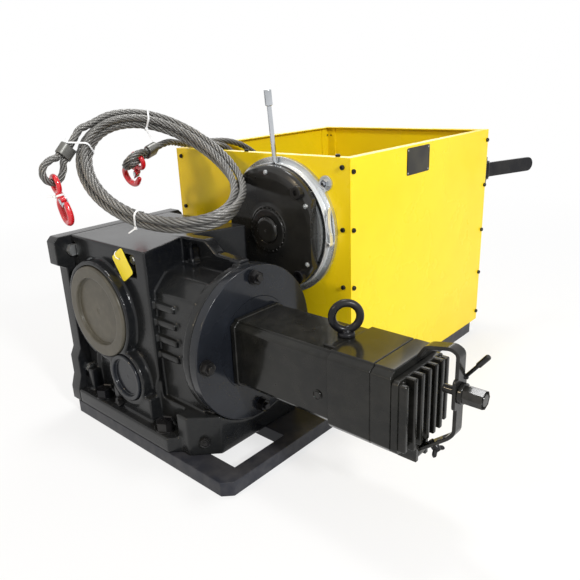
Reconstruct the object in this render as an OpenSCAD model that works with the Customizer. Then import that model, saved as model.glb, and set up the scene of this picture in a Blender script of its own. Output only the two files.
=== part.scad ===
// Electric winch: bevel gearbox, square motor, covered drum, holding brake and two wire ropes.
// X runs along the motor, Y along the drum, Z up. The origin is the centre of the base's underside.

/* [Base] */
// Length of the base plate along the drum
base_len = 984; // [960:1:1100]
// Width of the base plate along the motor
base_w = 530; // [520:1:600]
// Thickness of the base plate
base_t = 30; // [20:1:45]
// Width of the rails left at the sides of the base
base_rail = 33; // [25:1:60]
// Chamfer on the corners of the base
base_chamfer = 18; // [5:1:30]
// Depth of the front rail that carries the gearbox
front_rail = 52; // [45:1:70]
// Length of the opening under the gearbox
front_opening = 140; // [100:1:160]

/* [Gearbox] */
// Depth of the gearbox foot along the drum
foot_depth = 352; // [330:1:380]
// Thickness of the gearbox foot
foot_t = 32; // [20:1:45]
// Height of the gearbox above the base
case_h = 394; // [380:1:420]
// Depth of the gearbox case between its side walls
case_depth = 272; // [250:1:290]
// Distance of the case's left wall from the centre line
case_left = 236; // [225:1:250]
// Thickness of the end plate
end_plate_t = 34; // [20:1:45]
// Height of the output shaft above the base
shaft_h = 245; // [235:1:255]
// Distance of the output shaft from the centre line
shaft_off = 130; // [120:1:135]
// Radius of the output bore cover
bore_cover_r = 100; // [90:1:104]
// Radius of the bevel shaft cover
bevel_cover_r = 51; // [42:1:52]
// Height of the boss faces proud of the case wall
boss_proud = 22; // [12:1:30]
// Number of cooling ribs on each side of the neck
rib_count = 4; // [2:1:5]

/* [Motor] */
// Height of the motor shaft above the base
motor_h = 202; // [195:1:210]
// Distance of the motor flange face from the centre line
flange_x = 188; // [180:1:200]
// Radius of the round input flange
flange_r = 158; // [150:1:162]
// Thickness of the input adapter
adapter_t = 20; // [14:1:30]
// Width across the flats of the motor's front section
motor_w = 134; // [120:1:150]
// Width across the flats of the motor's rear section
motor_rear_w = 144; // [130:1:160]
// Length of the motor's front section
motor_front_len = 229; // [200:1:260]
// Length of the motor's rear section
motor_rear_len = 121; // [90:1:150]
// Length of the ribbed end cover
motor_end_len = 28; // [20:1:40]
// Number of ribs on the end cover
end_rib_count = 7; // [4:1:9]

/* [Drum] */
// Radius of the rope drum
drum_r = 80; // [70:1:85]
// Radius of the drum flanges
drum_flange_r = 132; // [120:1:136]
// Length of the drum over its flanges
drum_len = 386; // [360:1:400]
// Radius of the drum shaft
shaft_r = 35; // [25:1:40]
// Diameter of the wire rope
rope_d = 16; // [10:1:16]
// Turns of rope on each half of the drum
drum_turns = 8; // [4:1:8]
// Teeth on the drum gear and on the brake gear
gear_teeth = 28; // [24:1:28]
// Width of the gears
gear_w = 36; // [20:1:40]

/* [Cover] */
// Width of the yellow cover
box_w = 540; // [535:1:560]
// Length of the yellow cover
box_len = 620; // [600:1:640]
// Height of the yellow cover
box_h = 540; // [530:1:560]
// Thickness of the cover sheets
sheet_t = 3; // [2:0.5:4]
// Width of the lip folded in along the top edge
lip_w = 20; // [12:1:30]
// Leg of the corner angles
post_leg = 32; // [25:1:40]

/* [Holding brake] */
// Radius of the brake's mounting plate
brake_plate_r = 152; // [145:1:158]
// Radius of the brake's magnet housing
brake_r = 138; // [130:1:142]
// Depth of the magnet housing
brake_depth = 21; // [16:1:30]
// Radius of the centre cap
cap_r = 29; // [22:1:34]
// Length of the hand lever above the housing
lever_len = 132; // [100:1:160]
// Radius of the hand lever rod
lever_r = 5; // [4:0.5:6]

/* [Side lever] */
// Height of the flat bar
bar_h = 38; // [25:1:45]
// Thickness of the flat bar
bar_t = 8; // [5:1:12]
// Length of the flat bar from its pivot
bar_len = 176; // [120:1:200]
// Resting angle of the bar from the side of the cover
bar_angle = 20; // [0:1:40]

/* [Hidden] */
$fn = 48;

// Clearances shared by the fits
run_gap = 0.05;
seat_gap = 0.3;
air_gap = 1;
cut = 2;

// Places that several pieces share
front_y = -base_len / 2;
mid_y = front_y + foot_depth / 2;
case_y = mid_y - case_depth / 2;
boss_y = case_y - boss_proud;
axis_x = -shaft_off;
axis_z = base_t + shaft_h;
motor_z = base_t + motor_h;
case_top = base_t + case_h;
drum_room = 13;
cover_gap = 32;
box_x = axis_x - drum_flange_r - drum_room;
box_y = front_y + foot_depth + cover_gap;
box_top = base_t + box_h;

// Extrudes a profile drawn in X and Z along Y, from y0 over a depth
module along_y(y0, depth) {
    translate([0, y0 + depth, 0])
        rotate([90, 0, 0])
            linear_extrude(depth) children();
}

// Extrudes a profile drawn in Y and Z along X, from x0 over a length
module along_x(x0, length) {
    translate([x0, 0, 0])
        rotate([90, 0, 90])
            linear_extrude(length) children();
}

// A round bar along Y
module bar_y(x, y0, z, r, depth) {
    translate([x, y0 + depth, z])
        rotate([90, 0, 0])
            cylinder(h = depth, r = r);
}

// A round bar along X
module bar_x(x0, y, z, r, length) {
    translate([x0, y, z])
        rotate([0, 90, 0])
            cylinder(h = length, r = r);
}

// A hexagon bar along Z, given across its flats
module hex_z(flats, height) {
    cylinder(h = height, r = flats / sqrt(3), $fn = 6);
}

// A hexagon screw that points down, with its seat at z = 0
module hex_screw(flats, head, washer_r, washer_t, shank_r, shank) {
    cylinder(h = washer_t, r = washer_r);
    translate([0, 0, washer_t]) hex_z(flats, head);
    translate([0, 0, -shank]) cylinder(h = shank, r = shank_r);
}

// A rectangle with its corners cut off, centred on the origin
module cut_rect(w, l, c) {
    polygon([
        [-w / 2 + c, -l / 2], [w / 2 - c, -l / 2], [w / 2, -l / 2 + c], [w / 2, l / 2 - c],
        [w / 2 - c, l / 2], [-w / 2 + c, l / 2], [-w / 2, l / 2 - c], [-w / 2, -l / 2 + c]
    ]);
}

// Base plate with its openings and the holes for the gearbox screws
foot_bolt_r = 10;
foot_bolt_in = 21;
foot_bolt_x = [-158, 64];
drum_opening_y = -20;
drum_opening_len = 400;
cross_rail = 50;
base_inner_w = base_w - 2 * base_rail;
module base_frame() {
    color("#26262b")
    difference() {
        linear_extrude(base_t) cut_rect(base_w, base_len, base_chamfer);
        translate([-base_inner_w / 2, front_y + front_rail, -cut])
            cube([base_inner_w, front_opening, base_t + 2 * cut]);
        translate([-base_inner_w / 2 + cross_rail, drum_opening_y, -cut])
            cube([base_inner_w - 2 * cross_rail, drum_opening_len, base_t + 2 * cut]);
        foot_bolt_places()
            translate([0, 0, -cut]) cylinder(h = base_t + 2 * cut, r = foot_bolt_r + seat_gap);
    }
}

// The four places of the gearbox foot screws
module foot_bolt_places() {
    for (x = foot_bolt_x)
        for (y = [front_y + foot_bolt_in, front_y + foot_depth - foot_bolt_in])
            translate([x, y, 0]) children();
}

// Gearbox case: foot, case, neck, flange, bosses, web, ribs and pockets
foot_right = 130;
foot_corner = 34;
block_right = 184;
block_corner = 46;
block_in = 20;
block_h = 84;
case_right = 35;
case_waist = 40;
neck_half = 118;
neck_top = 312;
neck_slope_half = 78;
neck_slope_top = 338;
web_t = 28;
web_top = 398;
web_flange_top = 372;
case_flange_t = 20;
flange_back = flange_x - adapter_t - case_flange_t;
web_hole_r = 13;
web_hole_rise = 20;
web_hole_x = 36;
web_hole_z = 352;
boss_extra = 11;
rib_len = 86;
rib_h = 14;
rib_step = 35;
rib_first = 174;
rib_proud = 9;
bevel_x = -54;
bevel_z = 113;
pocket_w = 84;
pocket_h = 110;
pocket_depth = 46;
plug_pocket_w = 66;
plug_pocket_h = 44;
plug_pocket_depth = 18;
plug_pocket_drop = 12;
plug_pocket_in = 37;
bore_gap = 6;
output_r = 55;
bearing_wall = 22;
bearing_w = 26;
pinion_hole_r = 34;
pinion_hole_len = 66;
module case_plan() {
    polygon([
        [-case_left, case_y], [case_right, case_y], [case_right - case_waist, mid_y - web_t / 2],
        [case_right - case_waist, mid_y + web_t / 2], [case_right, 2 * mid_y - case_y],
        [-case_left, 2 * mid_y - case_y]
    ]);
}
module block_plan() {
    y0 = front_y + block_in;
    y1 = front_y + foot_depth - block_in;
    polygon([
        [-case_left, y0], [block_right - block_corner, y0], [block_right, y0 + block_corner],
        [block_right, y1 - block_corner], [block_right - block_corner, y1], [-case_left, y1]
    ]);
}
module foot_plan() {
    y1 = front_y + foot_depth;
    polygon([
        [-case_left, front_y], [foot_right - foot_corner, front_y],
        [foot_right, front_y + foot_corner], [foot_right, y1 - foot_corner],
        [foot_right - foot_corner, y1], [-case_left, y1]
    ]);
}
module neck_section() {
    polygon([
        [mid_y - neck_half, base_t], [mid_y - neck_half, base_t + neck_top],
        [mid_y - neck_slope_half, base_t + neck_slope_top], [mid_y + neck_slope_half, base_t + neck_slope_top],
        [mid_y + neck_half, base_t + neck_top], [mid_y + neck_half, base_t]
    ]);
}
module web_profile() {
    difference() {
        polygon([
            [-case_waist, base_t + neck_top], [-case_waist, case_top],
            [case_right + base_rail, base_t + web_top],
            [case_right + 2 * base_rail, base_t + web_flange_top + air_gap],
            [flange_back + case_flange_t, base_t + web_flange_top - air_gap - cut], [flange_back, base_t + neck_top]
        ]);
        for (s = [0, 1])
            translate([web_hole_x, base_t + web_hole_z + s * web_hole_rise]) circle(r = web_hole_r);
        translate([web_hole_x - web_hole_r, base_t + web_hole_z]) square([2 * web_hole_r, web_hole_rise]);
    }
}
// Cooling ribs and foot pockets, drawn for the front side
module side_ribs() {
    for (i = [0:rib_count - 1]) {
        z = base_t + rib_first + i * rib_step;
        translate([0, mid_y - neck_half - rib_proud, z])
            cube([rib_len, rib_proud + cut, rib_h]);
        bar_y(rib_len, mid_y - neck_half - rib_proud, z + rib_h / 2, rib_h / 2, rib_proud + cut);
    }
}
module foot_pockets() {
    for (x = foot_bolt_x) {
        translate([x - pocket_w / 2, front_y - cut, base_t + foot_t])
            cube([pocket_w, pocket_depth + cut, pocket_h - pocket_w / 2]);
        bar_y(x, front_y - cut, base_t + foot_t + pocket_h - pocket_w / 2, pocket_w / 2, pocket_depth + cut);
    }
}
module both_sides() {
    children();
    translate([0, 2 * mid_y, 0]) mirror([0, 1, 0]) children();
}
module gearbox_housing() {
    color("#24262b")
    difference() {
        union() {
            translate([0, 0, base_t]) linear_extrude(foot_t) foot_plan();
            translate([0, 0, base_t]) linear_extrude(block_h) block_plan();
            translate([0, 0, base_t + foot_t - cut]) linear_extrude(case_h - foot_t + cut) case_plan();
            along_x(0, flange_back + cut) neck_section();
            along_y(mid_y - web_t / 2, web_t) web_profile();
            bar_x(flange_back, mid_y, motor_z, flange_r, case_flange_t);
            both_sides() {
                bar_y(axis_x, boss_y, axis_z, bore_cover_r + boss_extra, boss_proud + cut);
                bar_y(bevel_x, boss_y, base_t + bevel_z, bevel_cover_r + boss_extra, boss_proud + cut);
                side_ribs();
            }
        }
        both_sides() {
            foot_pockets();
            end_screw_reliefs();
            translate([case_right - plug_pocket_w - plug_pocket_in, case_y - cut,
                       case_top - plug_pocket_h - plug_pocket_drop])
                cube([plug_pocket_w, plug_pocket_depth + cut, plug_pocket_h]);
            bar_y(axis_x, boss_y - cut, axis_z, output_r + bearing_wall + seat_gap,
                boss_proud + bearing_w + cut);
            bar_y(axis_x, boss_y - cut, axis_z, bore_cover_r + seat_gap, cover_seat + cut);
            bar_y(bevel_x, boss_y - cut, base_t + bevel_z, bevel_cover_r + seat_gap, cover_seat + cut);
        }
        bar_y(axis_x, case_y - cut, axis_z, output_r + bore_gap, case_depth + 2 * cut);
        bar_x(flange_x - adapter_t, mid_y, motor_z, flange_r + air_gap, adapter_t);
        translate([-case_left - end_plate_t, front_y - cut, base_t - cut])
            cube([end_plate_t, foot_depth + 2 * cut, case_h + 2 * cut]);
        bar_x(flange_x - adapter_t - pinion_hole_len, mid_y, motor_z, pinion_hole_r, pinion_hole_len + cut);
        foot_bolt_places()
            translate([0, 0, base_t - cut]) cylinder(h = foot_t + 2 * cut, r = foot_bolt_r + seat_gap);
        adapter_bolt_places()
            rotate([0, -90, 0]) translate([0, 0, -cut])
                cylinder(h = adapter_t + case_flange_t + 2 * cut, r = adapter_bolt_r + seat_gap);
        plug_holes();
    }
}

// End plate with its waved edge, and its screws
plate_waist = 20;
plate_waist_z = 118;
plate_waist_h = 205;
plate_toe = 10;
plate_toe_h = 62;
end_screw_flats = 24;
end_screw_head = 12;
end_screw_r = 8;
end_screw_len = 26;
end_screw_in = 38;
end_screw_z = [75, 362];
relief_gap = 4;
module end_plate_outline() {
    yf = front_y;
    yb = front_y + foot_depth;
    z0 = base_t;
    half = [
        [0, 0], [0, foot_t], [plate_toe, plate_toe_h], [plate_toe, plate_waist_z - plate_toe],
        [plate_waist, plate_waist_z + plate_toe], [plate_waist, plate_waist_z + plate_waist_h],
        [0, plate_waist_z + plate_waist_h + plate_toe], [0, case_h - plate_toe], [plate_toe, case_h]
    ];
    n = len(half) - 1;
    polygon(concat(
        [for (p = half) [yf + p[0], z0 + p[1]]],
        [for (i = [0:n]) [yb - half[n - i][0], z0 + half[n - i][1]]]
    ));
}
module end_screw_places() {
    for (z = end_screw_z)
        for (y = [front_y + end_screw_in, front_y + foot_depth - end_screw_in])
            translate([-case_left, y, base_t + z]) rotate([0, 90, 0]) children();
}
module end_screw_reliefs() {
    r = end_screw_flats / 2 + relief_gap;
    for (z = end_screw_z)
        translate([-case_left - cut, front_y - cut, base_t + z - r])
            cube([end_screw_head + relief_gap + cut, end_screw_in + r + cut, 2 * r]);
}
module gearbox_end_plate() {
    color("#24262b")
    difference() {
        along_x(-case_left - end_plate_t, end_plate_t) end_plate_outline();
        end_screw_places()
            translate([0, 0, -end_screw_len - air_gap])
                cylinder(h = end_screw_len + air_gap + cut, r = end_screw_r + seat_gap);
    }
}
module end_plate_bolts() {
    color("#b9bcc0")
    end_screw_places() {
        hex_z(end_screw_flats, end_screw_head);
        translate([0, 0, -end_screw_len]) cylinder(h = end_screw_len, r = end_screw_r);
    }
}

// Covers over the output bore and the bevel shaft
cover_seat = 8;
cover_proud = 4;
cover_ring = 26;
cover_dish = 5;
bevel_ring = 9;
module round_cover(x, z, r, ring) {
    difference() {
        bar_y(x, boss_y - cover_proud, z, r, cover_seat + cover_proud);
        bar_y(x, boss_y - cover_proud - cut, z, r - ring, cover_dish + cut);
    }
}
module output_bore_cover() {
    color("#2f2f30") round_cover(axis_x, axis_z, bore_cover_r, cover_ring);
}
module bevel_shaft_cover() {
    color("#2f2f30") round_cover(bevel_x, base_t + bevel_z, bevel_cover_r, bevel_ring);
}

// Input adapter and its screws
adapter_bolt_r = 8;
adapter_bolt_pitch = 137;
adapter_bolt_flats = 24;
adapter_bolt_head = 11;
adapter_washer_r = 15;
adapter_washer_t = 3;
adapter_bore_r = 42;
module adapter_bolt_places() {
    for (a = [0:90:270])
        translate([flange_x, mid_y, motor_z]) rotate([a, 0, 0])
            translate([0, adapter_bolt_pitch, 0]) children();
}
module input_adapter() {
    color("#2b2d33")
    difference() {
        bar_x(flange_x - adapter_t, mid_y, motor_z, flange_r, adapter_t);
        bar_x(flange_x - adapter_t - cut, mid_y, motor_z, adapter_bore_r, adapter_t + 2 * cut);
        adapter_bolt_places()
            rotate([0, -90, 0]) translate([0, 0, -cut])
                cylinder(h = adapter_t + 2 * cut, r = adapter_bolt_r + seat_gap);
    }
}
module adapter_bolts() {
    color("#1d1e21")
    adapter_bolt_places()
        rotate([0, 90, 0])
            hex_screw(adapter_bolt_flats, adapter_bolt_head, adapter_washer_r, adapter_washer_t,
                      adapter_bolt_r, adapter_t + case_flange_t);
}

// Oil plugs: two in the pocket at the top, one at the front of the foot, one on the corner
plug_r = 7;
plug_flats = 19;
plug_head = 9;
plug_shank = 14;
plug_x = [-50, -21];
plug_drop = 24;
drain_x = -92;
drain_z = 44;
module plug_places() {
    for (x = plug_x)
        translate([x, case_y + plug_pocket_depth, case_top - plug_drop])
            rotate([90, 0, 0]) children();
    translate([drain_x, front_y + block_in, base_t + drain_z]) rotate([90, 0, 0]) children();
    translate([block_right - block_corner / 2, front_y + block_in + block_corner / 2, base_t + foot_t])
        rotate([90, 0, 45]) children();
}
module plug_holes() {
    plug_places()
        translate([0, 0, -plug_shank - air_gap])
            cylinder(h = plug_shank + air_gap + cut, r = plug_r + seat_gap);
}
module oil_plugs() {
    color("#3a3a3c")
    plug_places() {
        hex_z(plug_flats, plug_head);
        translate([0, 0, -plug_shank]) cylinder(h = plug_shank, r = plug_r);
    }
}

// Screws of the gearbox foot
foot_bolt_flats = 32;
foot_bolt_head = 18;
foot_washer_r = 19;
foot_washer_t = 3;
module foot_bolts() {
    color("#222327")
    foot_bolt_places()
        translate([0, 0, base_t + foot_t])
            hex_screw(foot_bolt_flats, foot_bolt_head, foot_washer_r, foot_washer_t,
                      foot_bolt_r, foot_t + base_t - air_gap);
}

// Blank tag that hangs from an oil plug by a wire loop
tag_w = 44;
tag_l = 58;
tag_t = 1.5;
tag_corner = 5;
tag_hole_r = 2.5;
tag_lean = 34;
module oil_tag() {
    y = case_y - tag_t - seat_gap;
    color("#f2cf1d")
    translate([plug_x[0], y, case_top - plug_drop])
        rotate([0, -tag_lean, 0])
            rotate([-90, 0, 0])
                linear_extrude(tag_t)
                    difference() {
                        translate([-tag_w / 2 + tag_corner, -2 * tag_corner])
                            offset_rect(tag_w - 2 * tag_corner, tag_l - 2 * tag_corner, tag_corner);
                        circle(r = tag_hole_r);
                    }
}
// A rectangle with round corners, from the origin towards +X and +Y, grown by its corners
module offset_rect(w, l, r) {
    for (x = [0, w])
        for (y = [0, l])
            translate([x, y]) circle(r = r);
    translate([-r, 0]) square([w + 2 * r, l]);
    translate([0, -r]) square([w, l + 2 * r]);
}

// Drum side: shafts, bearings, gears and the drum
pedestal_t = 20;
pedestal_front = box_y + 30;
gear_y = pedestal_front + pedestal_t + 20;
drum_y = gear_y + gear_w + 38;
pedestal_rear = drum_y + drum_len + 20;
drum_flange_t = 12;
drum_wall = 12;
shaft_end = 26;
bearing_flange_r = 66;
bearing_body_r = 52;
bearing_flange_t = 10;
bearing_body_t = 16;
brake_off = 210;
brake_rise = 139;
brake_x = axis_x + brake_off;
brake_z = axis_z + brake_rise;
brake_shaft_r = 22;
center_dist = norm([brake_off, brake_rise]);
mesh_angle = atan2(brake_rise, brake_off);
output_y0 = boss_y + cover_seat + air_gap;
output_len = 2 * (mid_y - output_y0);
module output_shaft() {
    color("#8d8f92")
    difference() {
        bar_y(axis_x, output_y0, axis_z, output_r, output_len);
        bar_y(axis_x, output_y0 - cut, axis_z, shaft_r + run_gap, output_len + 2 * cut);
    }
}
module output_bearings() {
    color("#a9abad")
    both_sides()
        difference() {
            bar_y(axis_x, output_y0, axis_z, output_r + bearing_wall, bearing_w);
            bar_y(axis_x, output_y0 - cut, axis_z, output_r + run_gap, bearing_w + 2 * cut);
        }
}
module drum_shaft() {
    color("#9a9c9f")
    bar_y(axis_x, output_y0 + air_gap, axis_z, shaft_r,
        pedestal_rear + pedestal_t + shaft_end - output_y0 - air_gap);
}
compartment = (drum_len - 3 * drum_flange_t) / 2;
module rope_drum() {
    bore = shaft_r + run_gap;
    color("#3d3f43")
    translate([axis_x, drum_y, axis_z]) rotate([-90, 0, 0])
        rotate_extrude($fn = 72)
            polygon([
                [bore, 0], [drum_r, 0], [drum_r, drum_len], [bore, drum_len],
                [bore, drum_len - drum_flange_t], [drum_r - drum_wall, drum_len - drum_flange_t],
                [drum_r - drum_wall, drum_flange_t], [bore, drum_flange_t]
            ]);
}
// Flanges at both ends and in the middle of the drum
module drum_flanges() {
    color("#3d3f43")
    for (i = [0:2])
        translate([axis_x, drum_y + i * (drum_flange_t + compartment), axis_z]) rotate([-90, 0, 0])
            difference() {
                cylinder(h = drum_flange_t, r = drum_flange_r, $fn = 72);
                translate([0, 0, -cut]) cylinder(h = drum_flange_t + 2 * cut, r = drum_r + run_gap, $fn = 72);
            }
}

// Spur gear with involute flanks, a tooth centred on the angle given
tooth_addendum_share = 0.85;
tooth_dedendum_share = 1.15;
pressure_angle = 20;
tooth_gap = 0.3;
flank_steps = 3;
gear_hub_r = 62;
gear_web = 14;
function involute(a) = tan(a) * 180 / PI - a;
module spur_gear(pitch_r, bore, width, turn) {
    tooth_module = 2 * pitch_r / gear_teeth;
    base_r = pitch_r * cos(pressure_angle);
    tip_r = pitch_r + tooth_addendum_share * tooth_module;
    root_r = pitch_r - tooth_dedendum_share * tooth_module;
    half = 90 / gear_teeth - tooth_gap / pitch_r * 180 / PI;
    flank = [for (i = [0:flank_steps])
        let (r = base_r + (tip_r - base_r) * i / flank_steps)
        [r, half + involute(pressure_angle) - involute(acos(base_r / r))]];
    side = concat([[root_r, flank[0][1]]], flank);
    n = len(side) - 1;
    points = [for (k = [0:gear_teeth - 1])
        let (c = turn + 360 * k / gear_teeth)
        each concat(
            [for (p = side) p[0] * [cos(c - p[1]), sin(c - p[1])]],
            [for (i = [0:n]) side[n - i][0] * [cos(c + side[n - i][1]), sin(c + side[n - i][1])]]
        )];
    difference() {
        linear_extrude(width)
            difference() {
                polygon(points);
                circle(r = bore);
            }
        for (z = [-cut, width - gear_web + cut / 2])
            translate([0, 0, z])
                difference() {
                    cylinder(h = gear_web + cut / 2, r = root_r - gear_web);
                    translate([0, 0, -cut]) cylinder(h = gear_web + 3 * cut, r = gear_hub_r);
                }
    }
}
module drum_gear() {
    color("#6d6f73")
    translate([axis_x, gear_y, axis_z]) rotate([-90, 0, 0])
        spur_gear(center_dist / 2, shaft_r + run_gap, gear_w, -mesh_angle);
}
module brake_gear() {
    color("#6d6f73")
    translate([brake_x, gear_y, brake_z]) rotate([-90, 0, 0])
        spur_gear(center_dist / 2, brake_shaft_r + run_gap, gear_w, 180 - mesh_angle + 180 / gear_teeth);
}

// Standing plates that carry both shafts
pedestal_left_in = 60;
pedestal_right_in = 50;
pedestal_left = box_x + pedestal_left_in;
pedestal_right = box_x + box_w - pedestal_right_in;
pedestal_shoulder = 190;
pedestal_head_r = 74;
pedestal_window_r = 46;
pedestal_foot_h = 120;
module pedestal_profile() {
    difference() {
        union() {
            translate([pedestal_left, base_t]) square([pedestal_right - pedestal_left, pedestal_foot_h]);
            polygon([
                [pedestal_left, base_t + pedestal_foot_h], [axis_x - pedestal_head_r, axis_z],
                [axis_x, axis_z + pedestal_head_r],
                [brake_x - pedestal_head_r / 2, brake_z + pedestal_head_r / 2],
                [brake_x + pedestal_head_r, brake_z], [pedestal_right, base_t + pedestal_foot_h]
            ]);
            translate([axis_x, axis_z]) circle(r = pedestal_head_r);
            translate([brake_x, brake_z]) circle(r = pedestal_head_r);
        }
        translate([axis_x, axis_z]) circle(r = bearing_body_r + seat_gap);
        translate([brake_x, brake_z]) circle(r = bearing_body_r + seat_gap);
        translate([brake_x, base_t + pedestal_shoulder]) circle(r = pedestal_window_r);
    }
}
module bearing_pedestals() {
    color("#2c2e33")
    for (y = [pedestal_front, pedestal_rear])
        along_y(y, pedestal_t) pedestal_profile();
}
module flange_bearing(x, z, y, r, side) {
    y0 = side > 0 ? y + pedestal_t : y - bearing_flange_t;
    difference() {
        union() {
            bar_y(x, y0, z, bearing_flange_r, bearing_flange_t);
            bar_y(x, side > 0 ? y0 - bearing_body_t : y0, z, bearing_body_r, bearing_flange_t + bearing_body_t);
        }
        bar_y(x, y - bearing_flange_t - bearing_body_t, z, r + run_gap,
            2 * (bearing_flange_t + bearing_body_t) + pedestal_t);
    }
}
module shaft_bearings() {
    color("#55585d") {
        flange_bearing(axis_x, axis_z, pedestal_front, shaft_r, -1);
        flange_bearing(brake_x, brake_z, pedestal_front, brake_shaft_r, -1);
        flange_bearing(axis_x, axis_z, pedestal_rear, shaft_r, 1);
        flange_bearing(brake_x, brake_z, pedestal_rear, brake_shaft_r, 1);
    }
}
module brake_shaft() {
    color("#9a9c9f")
    bar_y(brake_x, disc_y, brake_z, brake_shaft_r, pedestal_rear + pedestal_t + shaft_end - disc_y);
}

// Holding brake on the front of the cover
brake_plate_t = 9;
plate_y = box_y - brake_plate_t;
disc_r = 122;
disc_t = 9;
armature_t = 7;
brake_travel = 0.8;
armature_r = 128;
disc_y = plate_y - disc_t - seat_gap;
armature_y = disc_y - armature_t - seat_gap;
housing_y = armature_y - brake_travel - seat_gap - brake_depth;
brake_screw_pitch = 126;
brake_screw_r = 6;
brake_screw_head_r = 9;
brake_screw_head = 11;
cover_pin_pitch = 124;
cover_pin_head_r = 5;
cover_pin_head = 4;
cap_t = 8;
ring_r = 46;
ring_t = 4;
ring_teeth = 24;
lug_x = 125;
lug_rise = 103;
lug_r = 8;
module ring_places(count, first, pitch, y) {
    for (i = [0:count - 1])
        translate([brake_x, y, brake_z]) rotate([0, first + 360 * i / count, 0])
            translate([pitch, 0, 0]) rotate([90, 0, 0]) children();
}
module brake_mounting_plate() {
    color("#5d6064")
    difference() {
        union() {
            bar_y(brake_x, plate_y, brake_z, brake_plate_r, brake_plate_t);
            bar_y(brake_x + lug_x, plate_y + brake_plate_t / 2, brake_z + lug_rise,
                2 * lug_r, brake_plate_t / 2);
            for (s = [0, 1])
                translate([brake_x + (s == 0 ? -lever_r - air_gap - lever_lug : lever_r + air_gap),
                           lever_pivot_y - lever_r, lever_pivot_z - lever_r])
                    cube([lever_lug, plate_y - lever_pivot_y + lever_r + cut, 2 * lever_r]);
        }
        bar_x(brake_x - lever_slot, lever_pivot_y, lever_pivot_z, lever_pin_r + run_gap, 2 * lever_slot);
        bar_y(brake_x, plate_y - cut, brake_z, brake_shaft_r + seat_gap, brake_plate_t + 2 * cut);
        ring_places(4, 45, brake_screw_pitch, plate_y + brake_plate_t + cut)
            cylinder(h = brake_plate_t + 2 * cut, r = brake_screw_r + seat_gap);
    }
}
module friction_disc() {
    color("#54483c")
    difference() {
        bar_y(brake_x, disc_y, brake_z, disc_r - 2 * brake_screw_r, disc_t);
        bar_y(brake_x, disc_y - cut, brake_z, brake_shaft_r + run_gap, disc_t + 2 * cut);
    }
}
module armature_plate() {
    color("#7a7c80")
    difference() {
        bar_y(brake_x, armature_y, brake_z, armature_r, armature_t);
        bar_y(brake_x, armature_y - cut, brake_z, brake_shaft_r + air_gap, armature_t + 2 * cut);
        ring_places(4, 45, brake_screw_pitch, armature_y + armature_t + cut)
            cylinder(h = armature_t + 2 * cut, r = brake_screw_r + air_gap);
        translate([brake_x - lever_slot / 2, armature_y - cut, brake_z + lever_root])
            cube([lever_slot, armature_t + 2 * cut, armature_r]);
    }
}
lever_root = 112;
lever_lug = 6;
lever_pin_r = 2.5;
lever_slot = 2 * (lever_r + lever_lug + 2 * air_gap);
module magnet_housing() {
    color("#1f2023")
    difference() {
        union() {
            bar_y(brake_x, housing_y, brake_z, brake_r, brake_depth);
            bar_y(brake_x, housing_y - ring_t, brake_z, ring_r, ring_t + cut);
            ring_places(ring_teeth, 0, ring_r, housing_y + cut)
                translate([-cover_pin_head / 2, -cover_pin_head / 2, 0])
                    cube([cover_pin_head, cover_pin_head / 2, ring_t + cut]);
        }
        bar_y(brake_x, housing_y - ring_t - cut, brake_z, cap_r + seat_gap, cap_t);
        ring_places(4, 45, brake_screw_pitch, housing_y + brake_depth + cut)
            cylinder(h = brake_depth + 2 * cut, r = brake_screw_r + seat_gap);
        ring_places(6, 30, cover_pin_pitch, housing_y + cover_pin_head)
            cylinder(h = cover_pin_head + cut, r = cover_pin_head_r / 2 + seat_gap);
    }
}
module brake_cap() {
    color("#2a2a2b")
    bar_y(brake_x, housing_y - cap_t - ring_t + cut, brake_z, cap_r, cap_t + ring_t - 2 * cut);
}
module brake_screws() {
    color("#191a1c") {
        ring_places(4, 45, brake_screw_pitch, housing_y) {
            difference() {
                cylinder(h = brake_screw_head, r = brake_screw_head_r);
                translate([0, 0, brake_screw_head / 2]) hex_z(brake_screw_r * 5 / 3, brake_screw_head);
            }
            translate([0, 0, housing_y - box_y - sheet_t])
                cylinder(h = box_y + sheet_t - housing_y, r = brake_screw_r);
        }
        ring_places(6, 30, cover_pin_pitch, housing_y) {
            cylinder(h = cover_pin_head, r = cover_pin_head_r);
            translate([0, 0, -cover_pin_head + seat_gap])
                cylinder(h = cover_pin_head, r = cover_pin_head_r / 2);
        }
    }
    color("#c9ccd0")
    translate([brake_x + lug_x, plate_y + brake_plate_t / 2, brake_z + lug_rise]) rotate([90, 0, 0])
        hex_z(2 * lug_r, lug_r);
}

// Bright band round the gap of the brake, with an over-centre latch
band_t = 2;
band_w = 14;
band_y = plate_y - band_w - seat_gap;
band_turn = 8;
latch_w = 10;
latch_ear = (band_w - latch_w) / 2 - seat_gap;
latch_t = 3;
latch_len = 78;
latch_pin_r = 2.5;
latch_stand = 5;
module brake_band() {
    mid_r = brake_r + seat_gap;
    color("#c9ccd0")
    difference() {
        union() {
            bar_y(brake_x, band_y, brake_z, mid_r + band_t, band_w);
            translate([brake_x, band_y, brake_z]) rotate([0, band_turn, 0])
                for (y = [0, band_w - latch_ear])
                    translate([mid_r, y, -latch_w / 2])
                        cube([latch_r - mid_r + 2 * latch_pin_r, latch_ear, latch_w]);
        }
        translate([brake_x, band_y - cut, brake_z]) rotate([0, band_turn, 0])
            bar_y(latch_r, 0, 0, latch_pin_r + run_gap, band_w + 2 * cut);
        bar_y(brake_x, band_y - cut, brake_z, mid_r, band_w + 2 * cut);
        translate([brake_x - lever_r - air_gap, band_y - cut, brake_z + brake_r / 2])
            cube([2 * (lever_r + air_gap), band_w + 2 * cut, brake_r]);
    }
}
latch_r = brake_r + seat_gap + band_t + latch_stand;
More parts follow.
